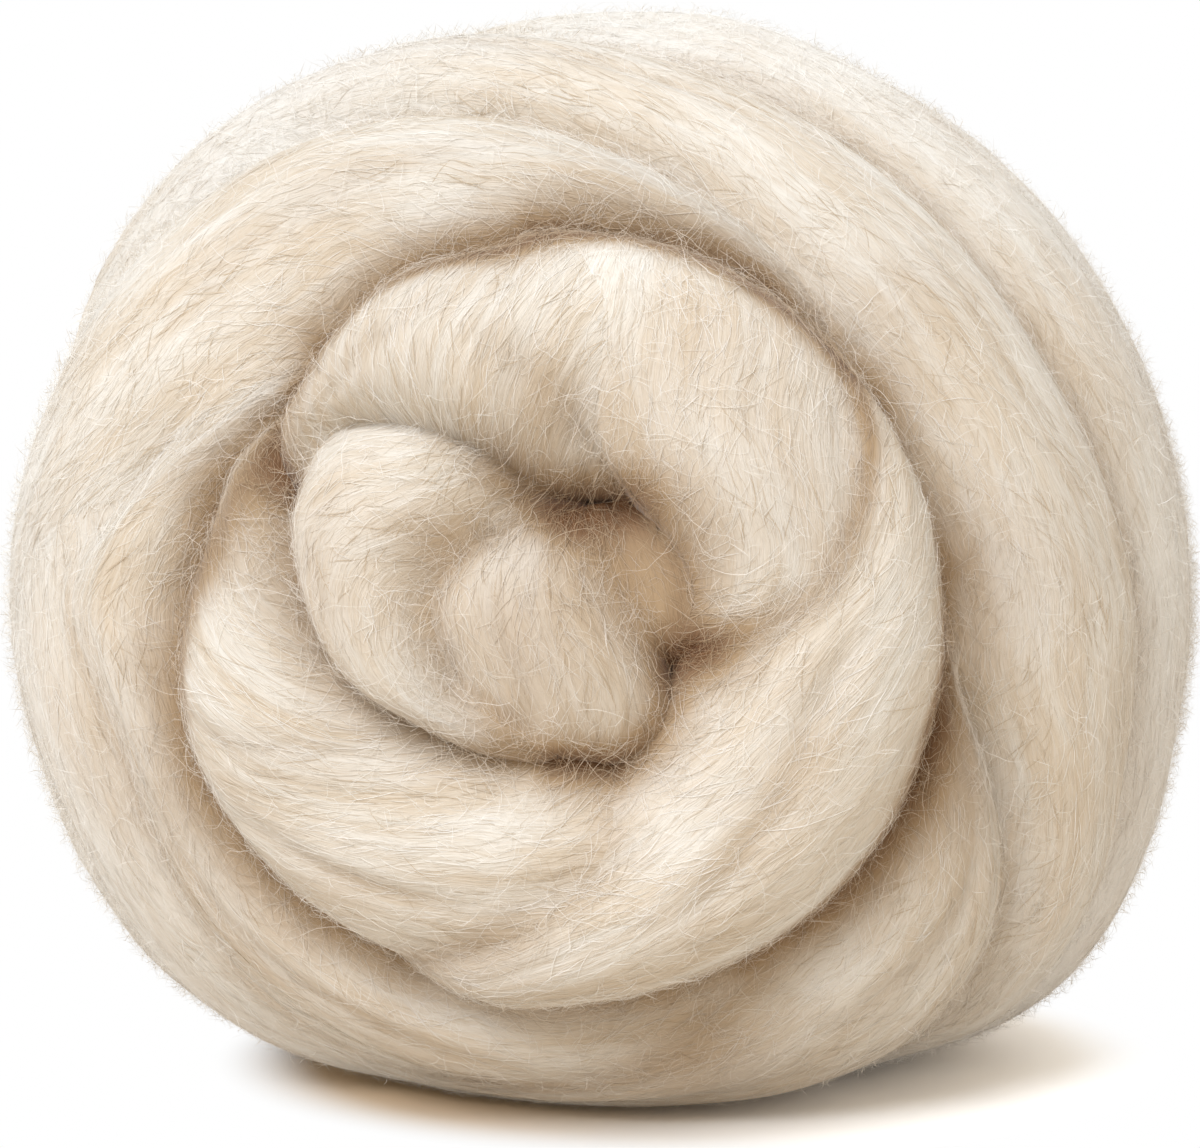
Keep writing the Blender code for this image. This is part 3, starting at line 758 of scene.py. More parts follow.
def tree_of(skins):
    """The arched tops of passes as one tree that rays can be cast at."""
    places = []
    faces = []
    offset = 0
    for skin in skins:
        rows, columns = skin.places.shape[:2]
        index = np.arange(rows * columns).reshape(rows, columns) + offset
        quads = np.stack((index[:-1, :-1], index[1:, :-1], index[1:, 1:], index[:-1, 1:]), axis=-1)
        places.append(skin.places.reshape(-1, 3))
        faces.append(quads.reshape(-1, 4))
        offset += rows * columns
    return BVHTree.FromPolygons(np.concatenate(places).tolist(), np.concatenate(faces).tolist())


def heights_over(tree, directions):
    """How high a pass stands off the plain ball in each direction, or NOWHERE."""
    above = 0.03
    ways = ball_normal(directions)
    starts = on_ball(directions) + ways * above
    found = []
    for start, way in zip(starts.tolist(), (-ways).tolist()):
        distance = tree.ray_cast(Vector(start), Vector(way), 2.0 * above)[3]
        found.append(NOWHERE if distance is None else above - distance)
    return np.array(found)


def is_there(heights):
    """Whether each height was found, and isn't NOWHERE."""
    return heights > 0.5 * NOWHERE


def join_between(first, second):
    """How two passes meet: how softly in metres, and how deep the shade is."""
    inside = (first in DISC) + (second in DISC)
    softness, depth = OTHER_JOINS[inside]
    for names, join in JOINS.items():
        if {first, second} == set(names):
            softness, depth = join
    return softness * MM, depth


def crossings(skin, gap, depth, covered):
    """Where a pass goes under a neighbour: rows of a place, how deep the crease there is, and its group."""
    found = []
    for axis in (0, 1):
        before = [slice(None), slice(None)]
        after = [slice(None), slice(None)]
        before[axis] = slice(0, -1)
        after[axis] = slice(1, None)
        before, after = tuple(before), tuple(after)
        near, far = gap[before], gap[after]
        change = ((near > 0.0) != (far > 0.0)) & covered[before] & covered[after]
        near, far = near[change], far[change]
        start = skin.places[before][change]
        step = skin.places[after][change] - start
        place = start + step * (near / (near - far))[:, None]
        slope = np.abs(near - far) / np.maximum(np.linalg.norm(step, axis=1), 1e-6)
        joined = depth[before][change]
        found.append(np.column_stack((place, joined * np.clip(slope, *CREASE_SLOPES), joined)))
    return np.concatenate(found)


def fold_places(skin):
    """Places along the folds within a pass, in the same rows, all in the shallowest group."""
    rows = [np.zeros((0, 5))]
    for name, deep, _, points in FOLDS:
        if name != skin.name:
            continue
        knots = np.array(points)
        steps = np.linspace(0.0, len(points) - 1.0, SPOTS_PER_POINT * len(points))
        along = np.interp(steps, np.arange(len(points)), knots[:, 0])
        across = np.interp(steps, np.arange(len(points)), knots[:, 1])
        row = along * MM / (skin.along[1] - skin.along[0])
        column = np.arccos(-across) / math.pi * (skin.count - 1)
        fade = np.sin(math.pi * np.linspace(*FOLD_SPAN, len(steps))) ** FOLD_FULLNESS
        depth = FOLD_SHADE * deep * fade
        rows.append(np.column_stack((sampled(skin.places, row, column), depth, 0.0 * depth)))
    return np.concatenate(rows)


def let_meet(skins):
    """Softens the valleys where passes meet, and gives the creases that are left."""
    trees = [tree_of([skin]) for skin in skins]
    creases = []
    raised = []
    for skin in skins:
        directions = skin.directions.reshape(-1, 3)
        own = skin.height.ravel()
        height = own.copy()
        top = np.full(own.shape, NOWHERE)
        depth = np.zeros(own.shape)
        for other, tree in zip(skins, trees):
            if other is skin:
                continue
            middle = unit(other.directions.reshape(-1, 3).mean(axis=0))
            spread = (other.directions @ middle).min()
            near = np.flatnonzero(directions @ middle > spread - SEARCH_MARGIN)
            over = heights_over(tree, directions[near])
            there, over = near[is_there(over)], over[is_there(over)]
            softness, shade = join_between(skin.name, other.name)
            higher = over > top[there]
            top[there[higher]] = over[higher]
            depth[there[higher]] = shade
            gap = own[there] - over
            fillet = np.maximum(softness - np.abs(gap), 0.0) ** 2 / (4.0 * softness)
            met = np.maximum(own[there], over) + fillet - HIDDEN_SHARE * np.maximum(-gap, 0.0)
            lifted = np.maximum(height[there], met)
            height[there] = np.where(np.abs(gap) < softness, lifted, height[there])
        grid = skin.height.shape
        maps = [values.reshape(grid) for values in (own - top, depth, is_there(top))]
        creases.append(crossings(skin, *maps))
        creases.append(fold_places(skin))
        raised.append(height.reshape(grid))
    for skin, height in zip(skins, raised):
        skin.raise_to(height)
    return np.concatenate(creases)


class Creases:
    """One group of creases of like depth."""

    def __init__(self, rows):
        self.radii = np.linalg.norm(rows[:, :3], axis=1)
        self.tree = KDTree(len(rows))
        spots = on_ball(direction_of(rows[:, :3])).tolist()
        for number, spot in enumerate(spots):
            self.tree.insert(spot, number)
        self.tree.balance()
        around = [[number for _, number, _ in self.tree.find_n(spot, CREASE_SMOOTH)] for spot in spots]
        self.depths = np.array([rows[some, 3].mean() for some in around])
        self.radii = np.array([self.radii[some].mean() for some in around])

    def shade(self, spots, radii, uneven):
        """The shade that this group casts at spots on the plain ball, where the wool has these radii."""
        found = np.array([
            [(distance, number) for _, number, distance in self.tree.find_n(spot, CREASES_ASKED)]
            for spot in spots
        ])
        distance = found[..., 0] / MM / uneven[:, None]
        number = found[..., 1].astype(int)
        rise = np.maximum(radii[:, None] - self.radii[number], 0.0) / MM
        share = 0.0
        for strength, reach, fade in (CLOSE_SHADE, WIDE_SHADE):
            share = share + strength * np.exp(-((distance / reach) ** 2)) * 0.5 ** (rise / fade)
        return (self.depths[number] * share).mean(axis=1)


def seam_spots(rows):
    """Spots along a seam, on the plain ball, with the reach in metres and the depth at each."""
    across, up, reach, depth = np.array(rows, float).T
    gone = np.concatenate(([0.0], np.cumsum(np.hypot(np.diff(across), np.diff(up)))))
    at = np.arange(0.0, gone[-1], SEAM_STEP)
    spots = on_ball(on_chart(np.interp(at, gone, across), np.interp(at, gone, up)))
    return zip(spots, np.interp(at, gone, reach) * MM, np.interp(at, gone, depth))


class Shade:
    """How deep the painted shade is at each place on the wool, from the creases, the seams and the shade
    spots.
    """

    def __init__(self, rows):
        marked = rows[rows[:, 3] > LEAST_SHADE]
        group = np.digitize(marked[:, 4], CREASE_GROUPS)
        self.groups = [Creases(marked[group == number]) for number in np.unique(group)]

    def at(self, places):
        """The shade at an array of places."""
        flat = places.reshape(-1, 3)
        step, share = UNEVEN_REACH
        uneven = 1.0 + share * noise(SHADE_SEED, flat[:, 0] / (step * MM), flat[:, 2] / (step * MM))
        spots = on_ball(direction_of(flat)).tolist()
        radii = np.linalg.norm(flat, axis=1)
        shade = np.max([creases.shade(spots, radii, uneven) for creases in self.groups], axis=0)
        clear = (1.0 - np.minimum(shade, 1.0)) * self.beside_seams(np.array(spots), uneven)
        # Each spot deepens the painted shade round one place on the chart.
        for across, up, reach, strength in SHADE_SPOTS:
            middle = on_ball(on_chart(np.array(across), np.array(up)))
            way = unit(middle)
            ahead = flat @ way - np.linalg.norm(middle)
            aside = np.linalg.norm(flat - middle - way * ahead[:, None], axis=1)
            clear = clear * (1.0 - strength * np.exp(-((aside / (reach * MM)) ** 2)) * (flat @ middle > 0.0))
        return (1.0 - clear).reshape(places.shape[:-1])

    def beside_seams(self, spots, uneven):
        """How much light the seams leave at spots on the plain ball."""
        front = np.flatnonzero(spots @ FACE_AXES[2] > SEAM_FRONT)
        clear = np.ones(len(spots))
        for rows in SEAMS:
            deepest = np.zeros(len(front))
            for spot, reach, depth in seam_spots(rows):
                away = np.linalg.norm(spots[front] - spot, axis=1) / (reach * uneven[front])
                deepest = np.maximum(deepest, depth * np.exp(-(away**2)))
            clear[front] = clear[front] * (1.0 - deepest)
        return clear


def ring_faces(sections, count):
    """Four-sided faces round and along the sections, and a fan that closes each end."""
    index = np.arange(sections * count).reshape(sections, count)
    after = np.roll(index, -1, axis=1)
    sides = np.stack((index[:-1], index[1:], after[1:], after[:-1]), axis=-1).reshape(-1, 4)
    ends = []
    for section, flip in ((0, 1), (sections - 1, -1)):
        corners = index[section]
        fan = np.stack((np.full(count - 2, corners[0]), corners[1:-1], corners[2:]), axis=-1)
        ends.append(fan[:, ::flip])
    return sides, np.concatenate(ends)


def mesh_piece(name, places, face_sets, maps, attributes, material):
    """A smooth mesh object from arrays. Each map gives two numbers for every corner of every face."""
    corners = np.concatenate([faces.ravel() for faces in face_sets])
    sizes = np.concatenate([np.full(len(faces), faces.shape[1]) for faces in face_sets])
    data = bpy.data.meshes.new(name)
    data.vertices.add(len(places))
    data.vertices.foreach_set("co", places.astype(np.float32).ravel())
    data.loops.add(len(corners))
    data.loops.foreach_set("vertex_index", corners.astype(np.int32))
    data.polygons.add(len(sizes))
    data.polygons.foreach_set("loop_start", (np.cumsum(sizes) - sizes).astype(np.int32))
    data.polygons.foreach_set("use_smooth", np.ones(len(sizes), bool))
    for title, values in maps.items():
        layer = data.uv_layers.new(name=title)
        layer.uv.foreach_set("vector", values.astype(np.float32).ravel())
    for title, values in attributes.items():
        layer = data.attributes.new(title, "FLOAT", "POINT")
        layer.data.foreach_set("value", values.astype(np.float32).ravel())
    data.update()
    data.materials.append(material)
    piece = bpy.data.objects.new(name, data)
    bpy.context.scene.collection.objects.link(piece)
    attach(piece, "root")
    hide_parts("roving_ball")
    return piece


def skin_piece(skin, material):
    """The mesh of one pass, with a map in mm for its fibres and an even one for its textures."""
    rings = settled(skin.ring())
    sections, count = rings.shape[:2]
    sides, ends = ring_faces(sections, count)
    corners = np.concatenate((sides.ravel(), ends.ravel()))
    row, column = corners // count, corners % count
    turned = column.copy()
    wrapped = np.zeros(len(corners), bool)
    side_corners = wrapped[: sides.size].reshape(-1, 4)
    side_corners[:, 2:] = (sides[:, 2:] % count) == 0
    turned[wrapped] = count
    across = np.interp(turned, np.arange(skin.count), skin.across) * skin.nominal
    run = np.stack(((across - skin.slide[row]) / MM, skin.along[row] / MM), axis=-1)
    even = np.stack((turned / count, row / (sections - 1.0)), axis=-1)
    shade = np.ones((sections, count))
    shade[:, : skin.count] = skin.shade
    maps = {"Run": run, "OFBake": even}
    return mesh_piece(skin.name, rings.reshape(-1, 3), (sides, ends), maps, {"shade": shade}, material)


def sampled(grid, row, column):
    """Values of a grid between its points."""
    row = np.clip(row, 0.0, grid.shape[0] - 1.001)
    column = np.clip(column, 0.0, grid.shape[1] - 1.001)
    low_row, low_column = row.astype(int), column.astype(int)
    down, over = row - low_row, column - low_column
    if grid.ndim == 3:
        down, over = down[..., None], over[..., None]
    near = grid[low_row, low_column] * (1 - over) + grid[low_row, low_column + 1] * over
    far = grid[low_row + 1, low_column] * (1 - over) + grid[low_row + 1, low_column + 1] * over
    return near * (1 - down) + far * down


# Kinds of fibre that lie on a pass: how many on the whole ball, points in each, ranges in mm, how far
# they turn off the run in degrees, how far they bend in radians, and their range of tone. Lift_end
# runs from 0, where both ends lie down, to 1, where one end stands off. All_over and about_rim say
# how thick they lie everywhere, and besides that where the ball turns away from the viewer.
FIBRES = {
    "lying": dict(
        count=67000, points=5, length=(3.2, 8.5), width=(0.038, 0.088), rise=(0.02, 0.24), drift=14.0,
        crimp=(0.01, 0.08), wave=(3.5, 8.0), bend=0.2, lift_end=0.0, all_over=1.0, about_rim=0.0,
        tone=(0.0, 0.9),
    ),
    "fuzz": dict(
        count=52000, points=4, length=(1.8, 4.6), width=(0.034, 0.058), rise=(0.25, 1.9), drift=42.0,
        crimp=(0.02, 0.20), wave=(3.0, 6.0), bend=0.8, lift_end=1.0, all_over=1.0, about_rim=1.0,
        tone=(0.35, 1.0),
    ),
    "edge": dict(
        count=24000, points=3, length=(1.4, 3.6), width=(0.050, 0.095), rise=(0.3, 1.9), drift=55.0,
        crimp=(0.02, 0.12), wave=(3.0, 6.0), bend=0.8, lift_end=1.0, all_over=0.0, about_rim=1.0,
        tone=(0.2, 0.9),
    ),
}
# Kinds of hair that wander over more than one pass, resting on what they meet: as above, but loft is
# how far they rise off it, and curl how far they turn, in radians. By_creases is how much thicker
# they lie beside the creases.
HAIRS = {
    "stray": dict(
        count=2600, points=11, length=(4.0, 11.0), width=(0.035, 0.060), loft=(0.1, 1.0), drift=22.0,
        crimp=(0.02, 0.24), wave=(2.5, 6.0), curl=1.1, by_creases=0.5, tone=(0.4, 1.0),
    ),
    "crease": dict(
        count=9000, points=6, length=(1.6, 4.6), width=(0.028, 0.050), loft=(0.05, 0.7), drift=34.0,
        crimp=(0.02, 0.16), wave=(2.0, 4.0), curl=1.3, by_creases=16.0, tone=(0.1, 1.0),
    ),
}

# Where fibres lie: how far forward a direction points where the ball turns away from the viewer, and
# to each side of that. Wool that points back more than BACK_FROM takes a smaller share of them, and
# wool in more shade than CREASE_FROM is beside a crease.
RIM_MIDDLE = 0.12
RIM_WIDTH = 0.20
BACK_FROM = -0.25
BACK_SHARE = 0.5
CREASE_FROM = 0.15

# How fibres and hairs run. A sway is (mm across, mm along, radians). A second wave has a share of the
# crimp and of the length of the first, and its phase is so many times that of the first.
SWAY = (5.0, 14.0, 0.36)
FIBRE_WAVE = (0.5, 0.43)
HAIR_WAVE = (0.6, 0.57)
SECOND_PHASE = 2.3

# Fibres stay within this share of the half width of their pass. How they rise from it: the exponent
# of the rise, how many mm they start within the wool, and the share of the rise by which they swell,
# with so many times the phase of the crimp.
FARTHEST_ACROSS = 0.985
SETTLING = 0.8
ROOT_DEPTH = 0.03
RISE_WAVE = (0.25, 1.7)

# The radius used for steps over the ball, the share of hairs that end in the air, how the two kinds
# bow, how far hairs clear the wool in mm, and how deep their roots are in it.
BALL_MEAN = 0.068
FREE_ENDS = 0.4
FREE_BOW = 1.5
TIED_BOW = 0.7
HAIR_CLEARANCE = 0.06
HAIR_ROOT = 0.05

# A fibre is left out where wool lies within this many metres over it. On the face it stays if it can
# be seen from in front. The test starts this many mm above the fibre.
COVER_REACH = 0.05
COVER_START = 0.5
FACE_FROM = 0.7

# Ribbons: how fine their ends are, how many degrees they lean at most, and the most triangles that
# one piece of them has.
FINE_END = 0.12
MOST_TILT = 35.0
MOST_TRIANGLES = 190000

# Tones gather about the middle of their range, and shift with the clump, which is (mm across, mm
# along). Fibres and hairs are less in shade than the wool beneath. Both are kept well within the map.
TONE_GATHERING = 2.2
CLUMPS = ((1.1, 9.0), (3.4, 22.0))
CLUMPING = 0.28
FIBRE_SHADE = 0.80
HAIR_SHADE = 0.55
MAP_RANGE = (0.02, 0.98)


def weights(skin, by_creases=0.0, about_rim=0.0, all_over=1.0):
    """How thick fibres lie on each cell of a pass: by its area, less behind, and more where asked."""
    cells = np.linalg.norm(
        np.cross(np.gradient(skin.places, axis=0), np.gradient(skin.places, axis=1)), axis=-1
    )
    forward = -direction_of(skin.places)[..., 1]
    rim = np.exp(-(((forward - RIM_MIDDLE) / RIM_WIDTH) ** 2))
    thicker = all_over + by_creases * (skin.shade > CREASE_FROM) + about_rim * rim
    return cells * np.where(forward > BACK_FROM, 1.0, BACK_SHARE) * thicker


def drawn(random, span, count):
    """Random lengths from a range in mm, in metres."""
    return random.uniform(*span, count) * MM


def waving(gone, crimp, wave, phase, second):
    """How far a crimped fibre swings aside, as the sum of a wave and a second, shorter one."""
    share, shorter = second
    swing = crimp * np.sin(2.0 * math.pi * gone / wave + phase)
    return swing + share * crimp * np.sin(2.0 * math.pi * gone / (shorter * wave) + SECOND_PHASE * phase)


def fibre_paths(skin, kind, count, random):
    """The points of fibres on a pass, their normals, how shaded each is, and its clump."""
    facts = FIBRES[kind]
    total = facts["points"]
    weight = weights(skin, about_rim=facts["about_rim"], all_over=facts["all_over"])
    chosen = random.choice(weight.size, size=count, p=(weight / weight.sum()).ravel())
    row = chosen // skin.count + random.uniform(-0.5, 0.5, count)
    column = chosen % skin.count + random.uniform(-0.5, 0.5, count)
    row_length = skin.along[1] - skin.along[0]
    share = np.linspace(0.0, 1.0, total)[None, :]
    length = drawn(random, facts["length"], count)[:, None]
    start = np.clip(row * row_length - 0.5 * length[:, 0], 0.0, skin.along[-1])[:, None]
    across_start = -np.cos(np.clip(column / (skin.count - 1), 0.0, 1.0) * math.pi)
    half = np.interp(start[:, 0], skin.along, skin.half_width)
    across_mm = (across_start * half / MM)[:, None]
    way = np.where(random.random(count) < 0.5, 1.0, -1.0)[:, None]
    angle = np.radians(random.normal(0.0, facts["drift"], count))[:, None]
    wide, long, sway = SWAY
    angle = angle + sway * noise(skin.seed + SWAY_SEED, across_mm / wide, start / MM / long)
    angle = angle + lean_of(skin.name, start)
    wave = drawn(random, facts["wave"], count)[:, None]
    phase = random.uniform(0.0, 2.0 * math.pi, count)[:, None]
    crimp = drawn(random, facts["crimp"], count)[:, None]
    bend = random.normal(0.0, facts["bend"], count)[:, None]
    middle = (share - 0.5) * length
    turn = angle + bend * (share - 0.5)
    along = start + 0.5 * length + middle * np.cos(turn) * way
    swing = waving(middle, crimp, wave, phase, FIBRE_WAVE)
    over = (across_mm * MM) + middle * np.sin(turn) * way + swing
    fraction = over / np.interp(along, skin.along, skin.half_width)
    fraction = np.clip(fraction, -FARTHEST_ACROSS, FARTHEST_ACROSS)
    column = np.arccos(-fraction) / math.pi * (skin.count - 1)
    row = along / row_length
    places = sampled(skin.places, row, column)
    normals = unit(sampled(skin.normals, row, column))
    rise = drawn(random, facts["rise"], count)[:, None]
    settle = np.sin(math.pi * share) ** SETTLING * (1.0 - facts["lift_end"])
    settle = settle + share**SETTLING * facts["lift_end"]
    height = rise * settle - ROOT_DEPTH * MM
    swell, turned = RISE_WAVE
    height = height + swell * rise * np.sin(2.0 * math.pi * middle / wave + turned * phase) * settle
    shade = FIBRE_SHADE * sampled(skin.shade, row, column)
    combed = across_mm[:, 0] - np.interp(start[:, 0], skin.along, skin.slide) / MM
    clump = np.zeros(count)
    for number, (wide, long) in enumerate(CLUMPS):
        clump += noise(skin.seed + CLUMP_SEED + number, combed / wide, start[:, 0] / MM / long)
    return places + normals * height[..., None], normals, shade, clump


def hair_paths(kind, skins, tree, shade, random):
    """The points of one kind of wandering hair, their normals, how shaded each is, and no clump."""
    facts = HAIRS[kind]
    laid = [weights(skin, facts["by_creases"]) for skin in skins]
    areas = np.array([weight.sum() for weight in laid])
    starts = []
    for skin, weight, share in zip(skins, laid, areas / areas.sum()):
        count = int(facts["count"] * share)
        chosen = random.choice(weight.size, size=count, p=(weight / weight.sum()).ravel())
        lean = lean_of(skin.name, skin.along)[:, None, None]
        runs = unit(np.gradient(skin.directions, axis=0)) * np.cos(lean)
        runs = unit(runs + unit(np.gradient(skin.directions, axis=1)) * np.sin(lean))
        starts.append((skin.directions.reshape(-1, 3)[chosen], runs.reshape(-1, 3)[chosen]))
    way, heading = (np.concatenate(parts) for parts in zip(*starts))
    count = len(way)
    total = facts["points"]
    turn = np.radians(random.normal(0.0, facts["drift"], count)) + math.pi * (random.random(count) < 0.5)
    curl = random.normal(0.0, facts["curl"], count)
    length = drawn(random, facts["length"], count)
    wave = drawn(random, facts["wave"], count)
    crimp = drawn(random, facts["crimp"], count)
    phase = random.uniform(0.0, 2.0 * math.pi, count)
    side = np.cross(way, heading)
    heading = heading * np.cos(turn)[:, None] + side * np.sin(turn)[:, None]
    ways = []
    for number in range(total):
        gone = number / (total - 1.0) * length
        swing = waving(gone, crimp, wave, phase, HAIR_WAVE)
        side = unit(np.cross(way, heading))
        ways.append(unit(way + side * (swing / BALL_MEAN)[:, None]))
        step = (length / (total - 1.0) / BALL_MEAN)[:, None]
        way = unit(way + heading * step)
        heading = unit(heading + side * (curl / (total - 1.0))[:, None])
        heading = unit(heading - way * np.sum(heading * way, axis=1, keepdims=True))
    ways = np.stack(ways, axis=1)
    ground = heights_over(tree, ways.reshape(-1, 3)).reshape(count, total)
    kept = is_there(ground.min(axis=1))
    ways, ground = ways[kept], ground[kept]
    share = np.linspace(0.0, 1.0, total)[None, :]
    loft = drawn(random, facts["loft"], len(ways))[:, None]
    free_end = (random.random(len(ways)) < FREE_ENDS)[:, None]
    bow = np.where(free_end, share**FREE_BOW, np.sin(math.pi * share) ** TIED_BOW)
    chord = ground[:, :1] * (1.0 - share) + ground[:, -1:] * share
    height = np.maximum(ground + HAIR_CLEARANCE * MM, chord) + loft * bow
    height = 0.5 * height + 0.25 * (np.roll(height, 1, axis=1) + np.roll(height, -1, axis=1))
    height[:, 0] = ground[:, 0] - HAIR_ROOT * MM
    height[:, -1] = height[:, -2]
    normals = ball_normal(ways)
    points = on_ball(ways) + normals * height[..., None]
    return points, normals, HAIR_SHADE * shade.at(points), np.zeros(len(points))


def ribbon_mesh(points, normals, width, tilt):
    """Vertices of flat ribbons along paths, tapered to fine ends, each leaning about its run."""
    run = unit(np.gradient(points, axis=1))
    side = unit(np.cross(run, normals))
    out = np.cross(side, run)
    side = side * np.cos(tilt)[:, None, None] + out * np.sin(tilt)[:, None, None]
    share = np.linspace(-1.0, 1.0, points.shape[1])
    taper = np.maximum(1.0 - share**4, FINE_END)
    offset = side * (0.5 * width[:, None] * taper[None, :])[..., None]
    return np.stack((points - offset, points + offset), axis=2)


def ribbon_faces(fibres, points):
    """Four-sided faces of ribbons whose vertices come in pairs along each."""
    index = np.arange(fibres * points * 2).reshape(fibres, points, 2)
    return np.stack(
        (index[:, :-1, 0], index[:, :-1, 1], index[:, 1:, 1], index[:, 1:, 0]), axis=-1
    ).reshape(-1, 4)


def uncovered(tree, points, normals):
    """Which fibres have nothing over their middle, or on the face nothing before it."""
    middle = points.shape[1] // 2
    starts = points[:, middle] + normals[:, middle] * COVER_START * MM
    ways = ball_normal(direction_of(starts))
    on_face = ways @ FACE_AXES[2] > FACE_FROM
    face = Vector(FACE_AXES[2])
    seen = [
        tree.ray_cast(Vector(start), Vector(way), COVER_REACH)[0] is None
        or (faces_front and tree.ray_cast(Vector(start), face, COVER_REACH)[0] is None)
        for start, way, faces_front in zip(starts.tolist(), ways.tolist(), on_face.tolist())
    ]
    return np.array(seen)


def spread_fibres(kind, skins, tree, random):
    """Paths of one kind of fibre over every pass, without those that lie under another pass."""
    facts = FIBRES[kind]
    areas = [weights(skin, about_rim=facts["about_rim"], all_over=facts["all_over"]).sum() for skin in skins]
    batches = []
    for skin, area in zip(skins, areas):
        count = int(facts["count"] * area / sum(areas))
        if not count:
            continue
        paths = fibre_paths(skin, kind, count, random)
        seen = uncovered(tree, *paths[:2])
        batches.append([part[seen] for part in paths])
    return [np.concatenate(parts) for parts in zip(*batches)]


def fibre_pieces(name, paths, facts, material, random):
    """Ribbons along paths, shuffled and joined into as few pieces as may be."""
    order = random.permutation(len(paths[0]))
    points, normals, shade, clump = (part[order] for part in paths)
    width = drawn(random, facts["width"], len(points))
    tilt = np.radians(random.uniform(-MOST_TILT, MOST_TILT, len(points)))
    low, high = facts["tone"]
    tone = low + (high - low) * random.beta(TONE_GATHERING, TONE_GATHERING, len(points))
    tone = np.clip(tone + CLUMPING * clump, *MAP_RANGE)
    vertices = settled(ribbon_mesh(points, normals, width, tilt))
    most = MOST_TRIANGLES // (2 * (points.shape[1] - 1))
    for number, begin in enumerate(range(0, len(points), most)):
        part = slice(begin, begin + most)
        some = vertices[part]
        faces = ribbon_faces(len(some), some.shape[1])
        tones = np.broadcast_to(tone[part][:, None, None], some.shape[:3])
        shades = np.broadcast_to(shade[part][:, :, None], some.shape[:3])
        both = np.stack((tones, np.clip(shades, *MAP_RANGE)), axis=-1).reshape(-1, 2)
        title = f"{name}_{number + 1}"
        mesh_piece(title, some.reshape(-1, 3), (faces,), {"OFBake": both[faces.ravel()]}, {}, material)


# The sockets of a Mix node that hold its two colours, and the one that gives the result.
MIX_FIRST = 6
MIX_SECOND = 7
MIX_RESULT = 2


class Wire:
    """An output of a material's node, so that sums on it can be written out."""

    def __init__(self, tree, socket):
        self.tree = tree
        self.socket = socket

    def node(self, kind, settings=None, values=None, output=0):
        """A new node: its settings are set first, then its inputs, each a plain value or a wire.

        Inputs and the output are given by their name or their number.
        """
        made = self.tree.nodes.new(kind)
        for name, value in (settings or {}).items():
            setattr(made, name, value)
        for place, value in (values or {}).items():
            if isinstance(value, Wire):
                self.tree.links.new(value.socket, made.inputs[place])
            else:
                made.inputs[place].default_value = value
        return Wire(self.tree, made.outputs[output]) if made.outputs else made

    def twin(self, output):
        """Another output of the same node."""
        return Wire(self.tree, self.socket.node.outputs[output])

    def maths(self, operation, first, second=0.0):
        """The sum, product or the like of two numbers, each plain or a wire."""
        return self.node("ShaderNodeMath", {"operation": operation}, {0: first, 1: second})

    def __add__(self, other):
        return self.maths("ADD", self, other)

    def __radd__(self, other):
        return self.maths("ADD", other, self)

    def __sub__(self, other):
        return self.maths("SUBTRACT", self, other)

    def __rsub__(self, other):
        return self.maths("SUBTRACT", other, self)

    def __mul__(self, other):
        return self.maths("MULTIPLY", self, other)

    def __rmul__(self, other):
        return self.maths("MULTIPLY", other, self)

    def __pow__(self, other):
        return self.maths("POWER", self, other)

    def held(self, low, high):
        """The value, kept between two others and eased to run from 0 to 1."""
        settings = {"clamp": True, "interpolation_type": "SMOOTHSTEP"}
        return self.node("ShaderNodeMapRange", settings, {0: self, 1: low, 2: high, 3: 0.0, 4: 1.0})

    def mixed(self, first, second):
        """A colour from the first at 0 to the second at 1."""
        settings = {"data_type": "RGBA", "clamp_factor": True}
        values = {0: self, MIX_FIRST: first, MIX_SECOND: second}
        return self.node("ShaderNodeMix", settings, values, MIX_RESULT)

    def joined(self, x, y, z=0.0):
        """A vector of three numbers, each plain or a wire."""
        return self.node("ShaderNodeCombineXYZ", None, {0: x, 1: y, 2: z})

    def vectors(self, operation, *others, output=0):
        """What maths makes of this vector and others."""
        values = dict(enumerate((self, *others)))
        return self.node("ShaderNodeVectorMath", {"operation": operation}, values, output)

    def first_two(self):
        """The first two numbers of a vector."""
        first = self.node("ShaderNodeSeparateXYZ", None, {0: self})
        return first, first.twin(1)

    def grain(self, vector, detail=2.0, roughness=0.5):
        """Noise about 0.5 at the scale that the vector has."""
        values = {"Vector": vector, "Scale": 1.0, "Detail": detail, "Roughness": roughness}
        return self.node("ShaderNodeTexNoise", {"noise_dimensions": "3D"}, values)


def linear(red, green, blue):
    """A colour given as 0 to 255 on a screen, as the light that it stands for."""
    return tuple((channel / 255.0) ** 2.2 for channel in (red, green, blue)) + (1.0,)


# The wool's colours, mist for the painted haze at the outline, and honey and umber for painted shade.
CREAM = linear(249, 246, 239)
PALE = linear(254, 252, 249)
MIST = linear(237, 238, 237)
OATMEAL = linear(230, 216, 196)
TAN = linear(208, 190, 164)
EARTH = linear(205, 186, 160)
HONEY_SHADE = linear(184, 159, 129)
UMBER_SHADE = linear(106, 63, 31)
BLACK = (0.0, 0.0, 0.0, 1.0)
WHITE = (1.0, 1.0, 1.0, 1.0)

# The haze at the outline of the ball, painted light in place of the fine hairs lit there: where it starts
# and is full, from 0 facing to 1 edge on, how far it pales the wool, and how much painted glow it gives.
HAZE_REACH = (0.56, 1.0)
HAZE_TINT = 0.62
HAZE_PAINTED_GLOW = 0.06

# The ball as the haze takes it: its middle, and how much flatter it is from front to back.
BALL_MIDDLE = (0.0, 0.0, 0.0655)
BALL_SHAPE = (1.0, 1.25, 1.0)

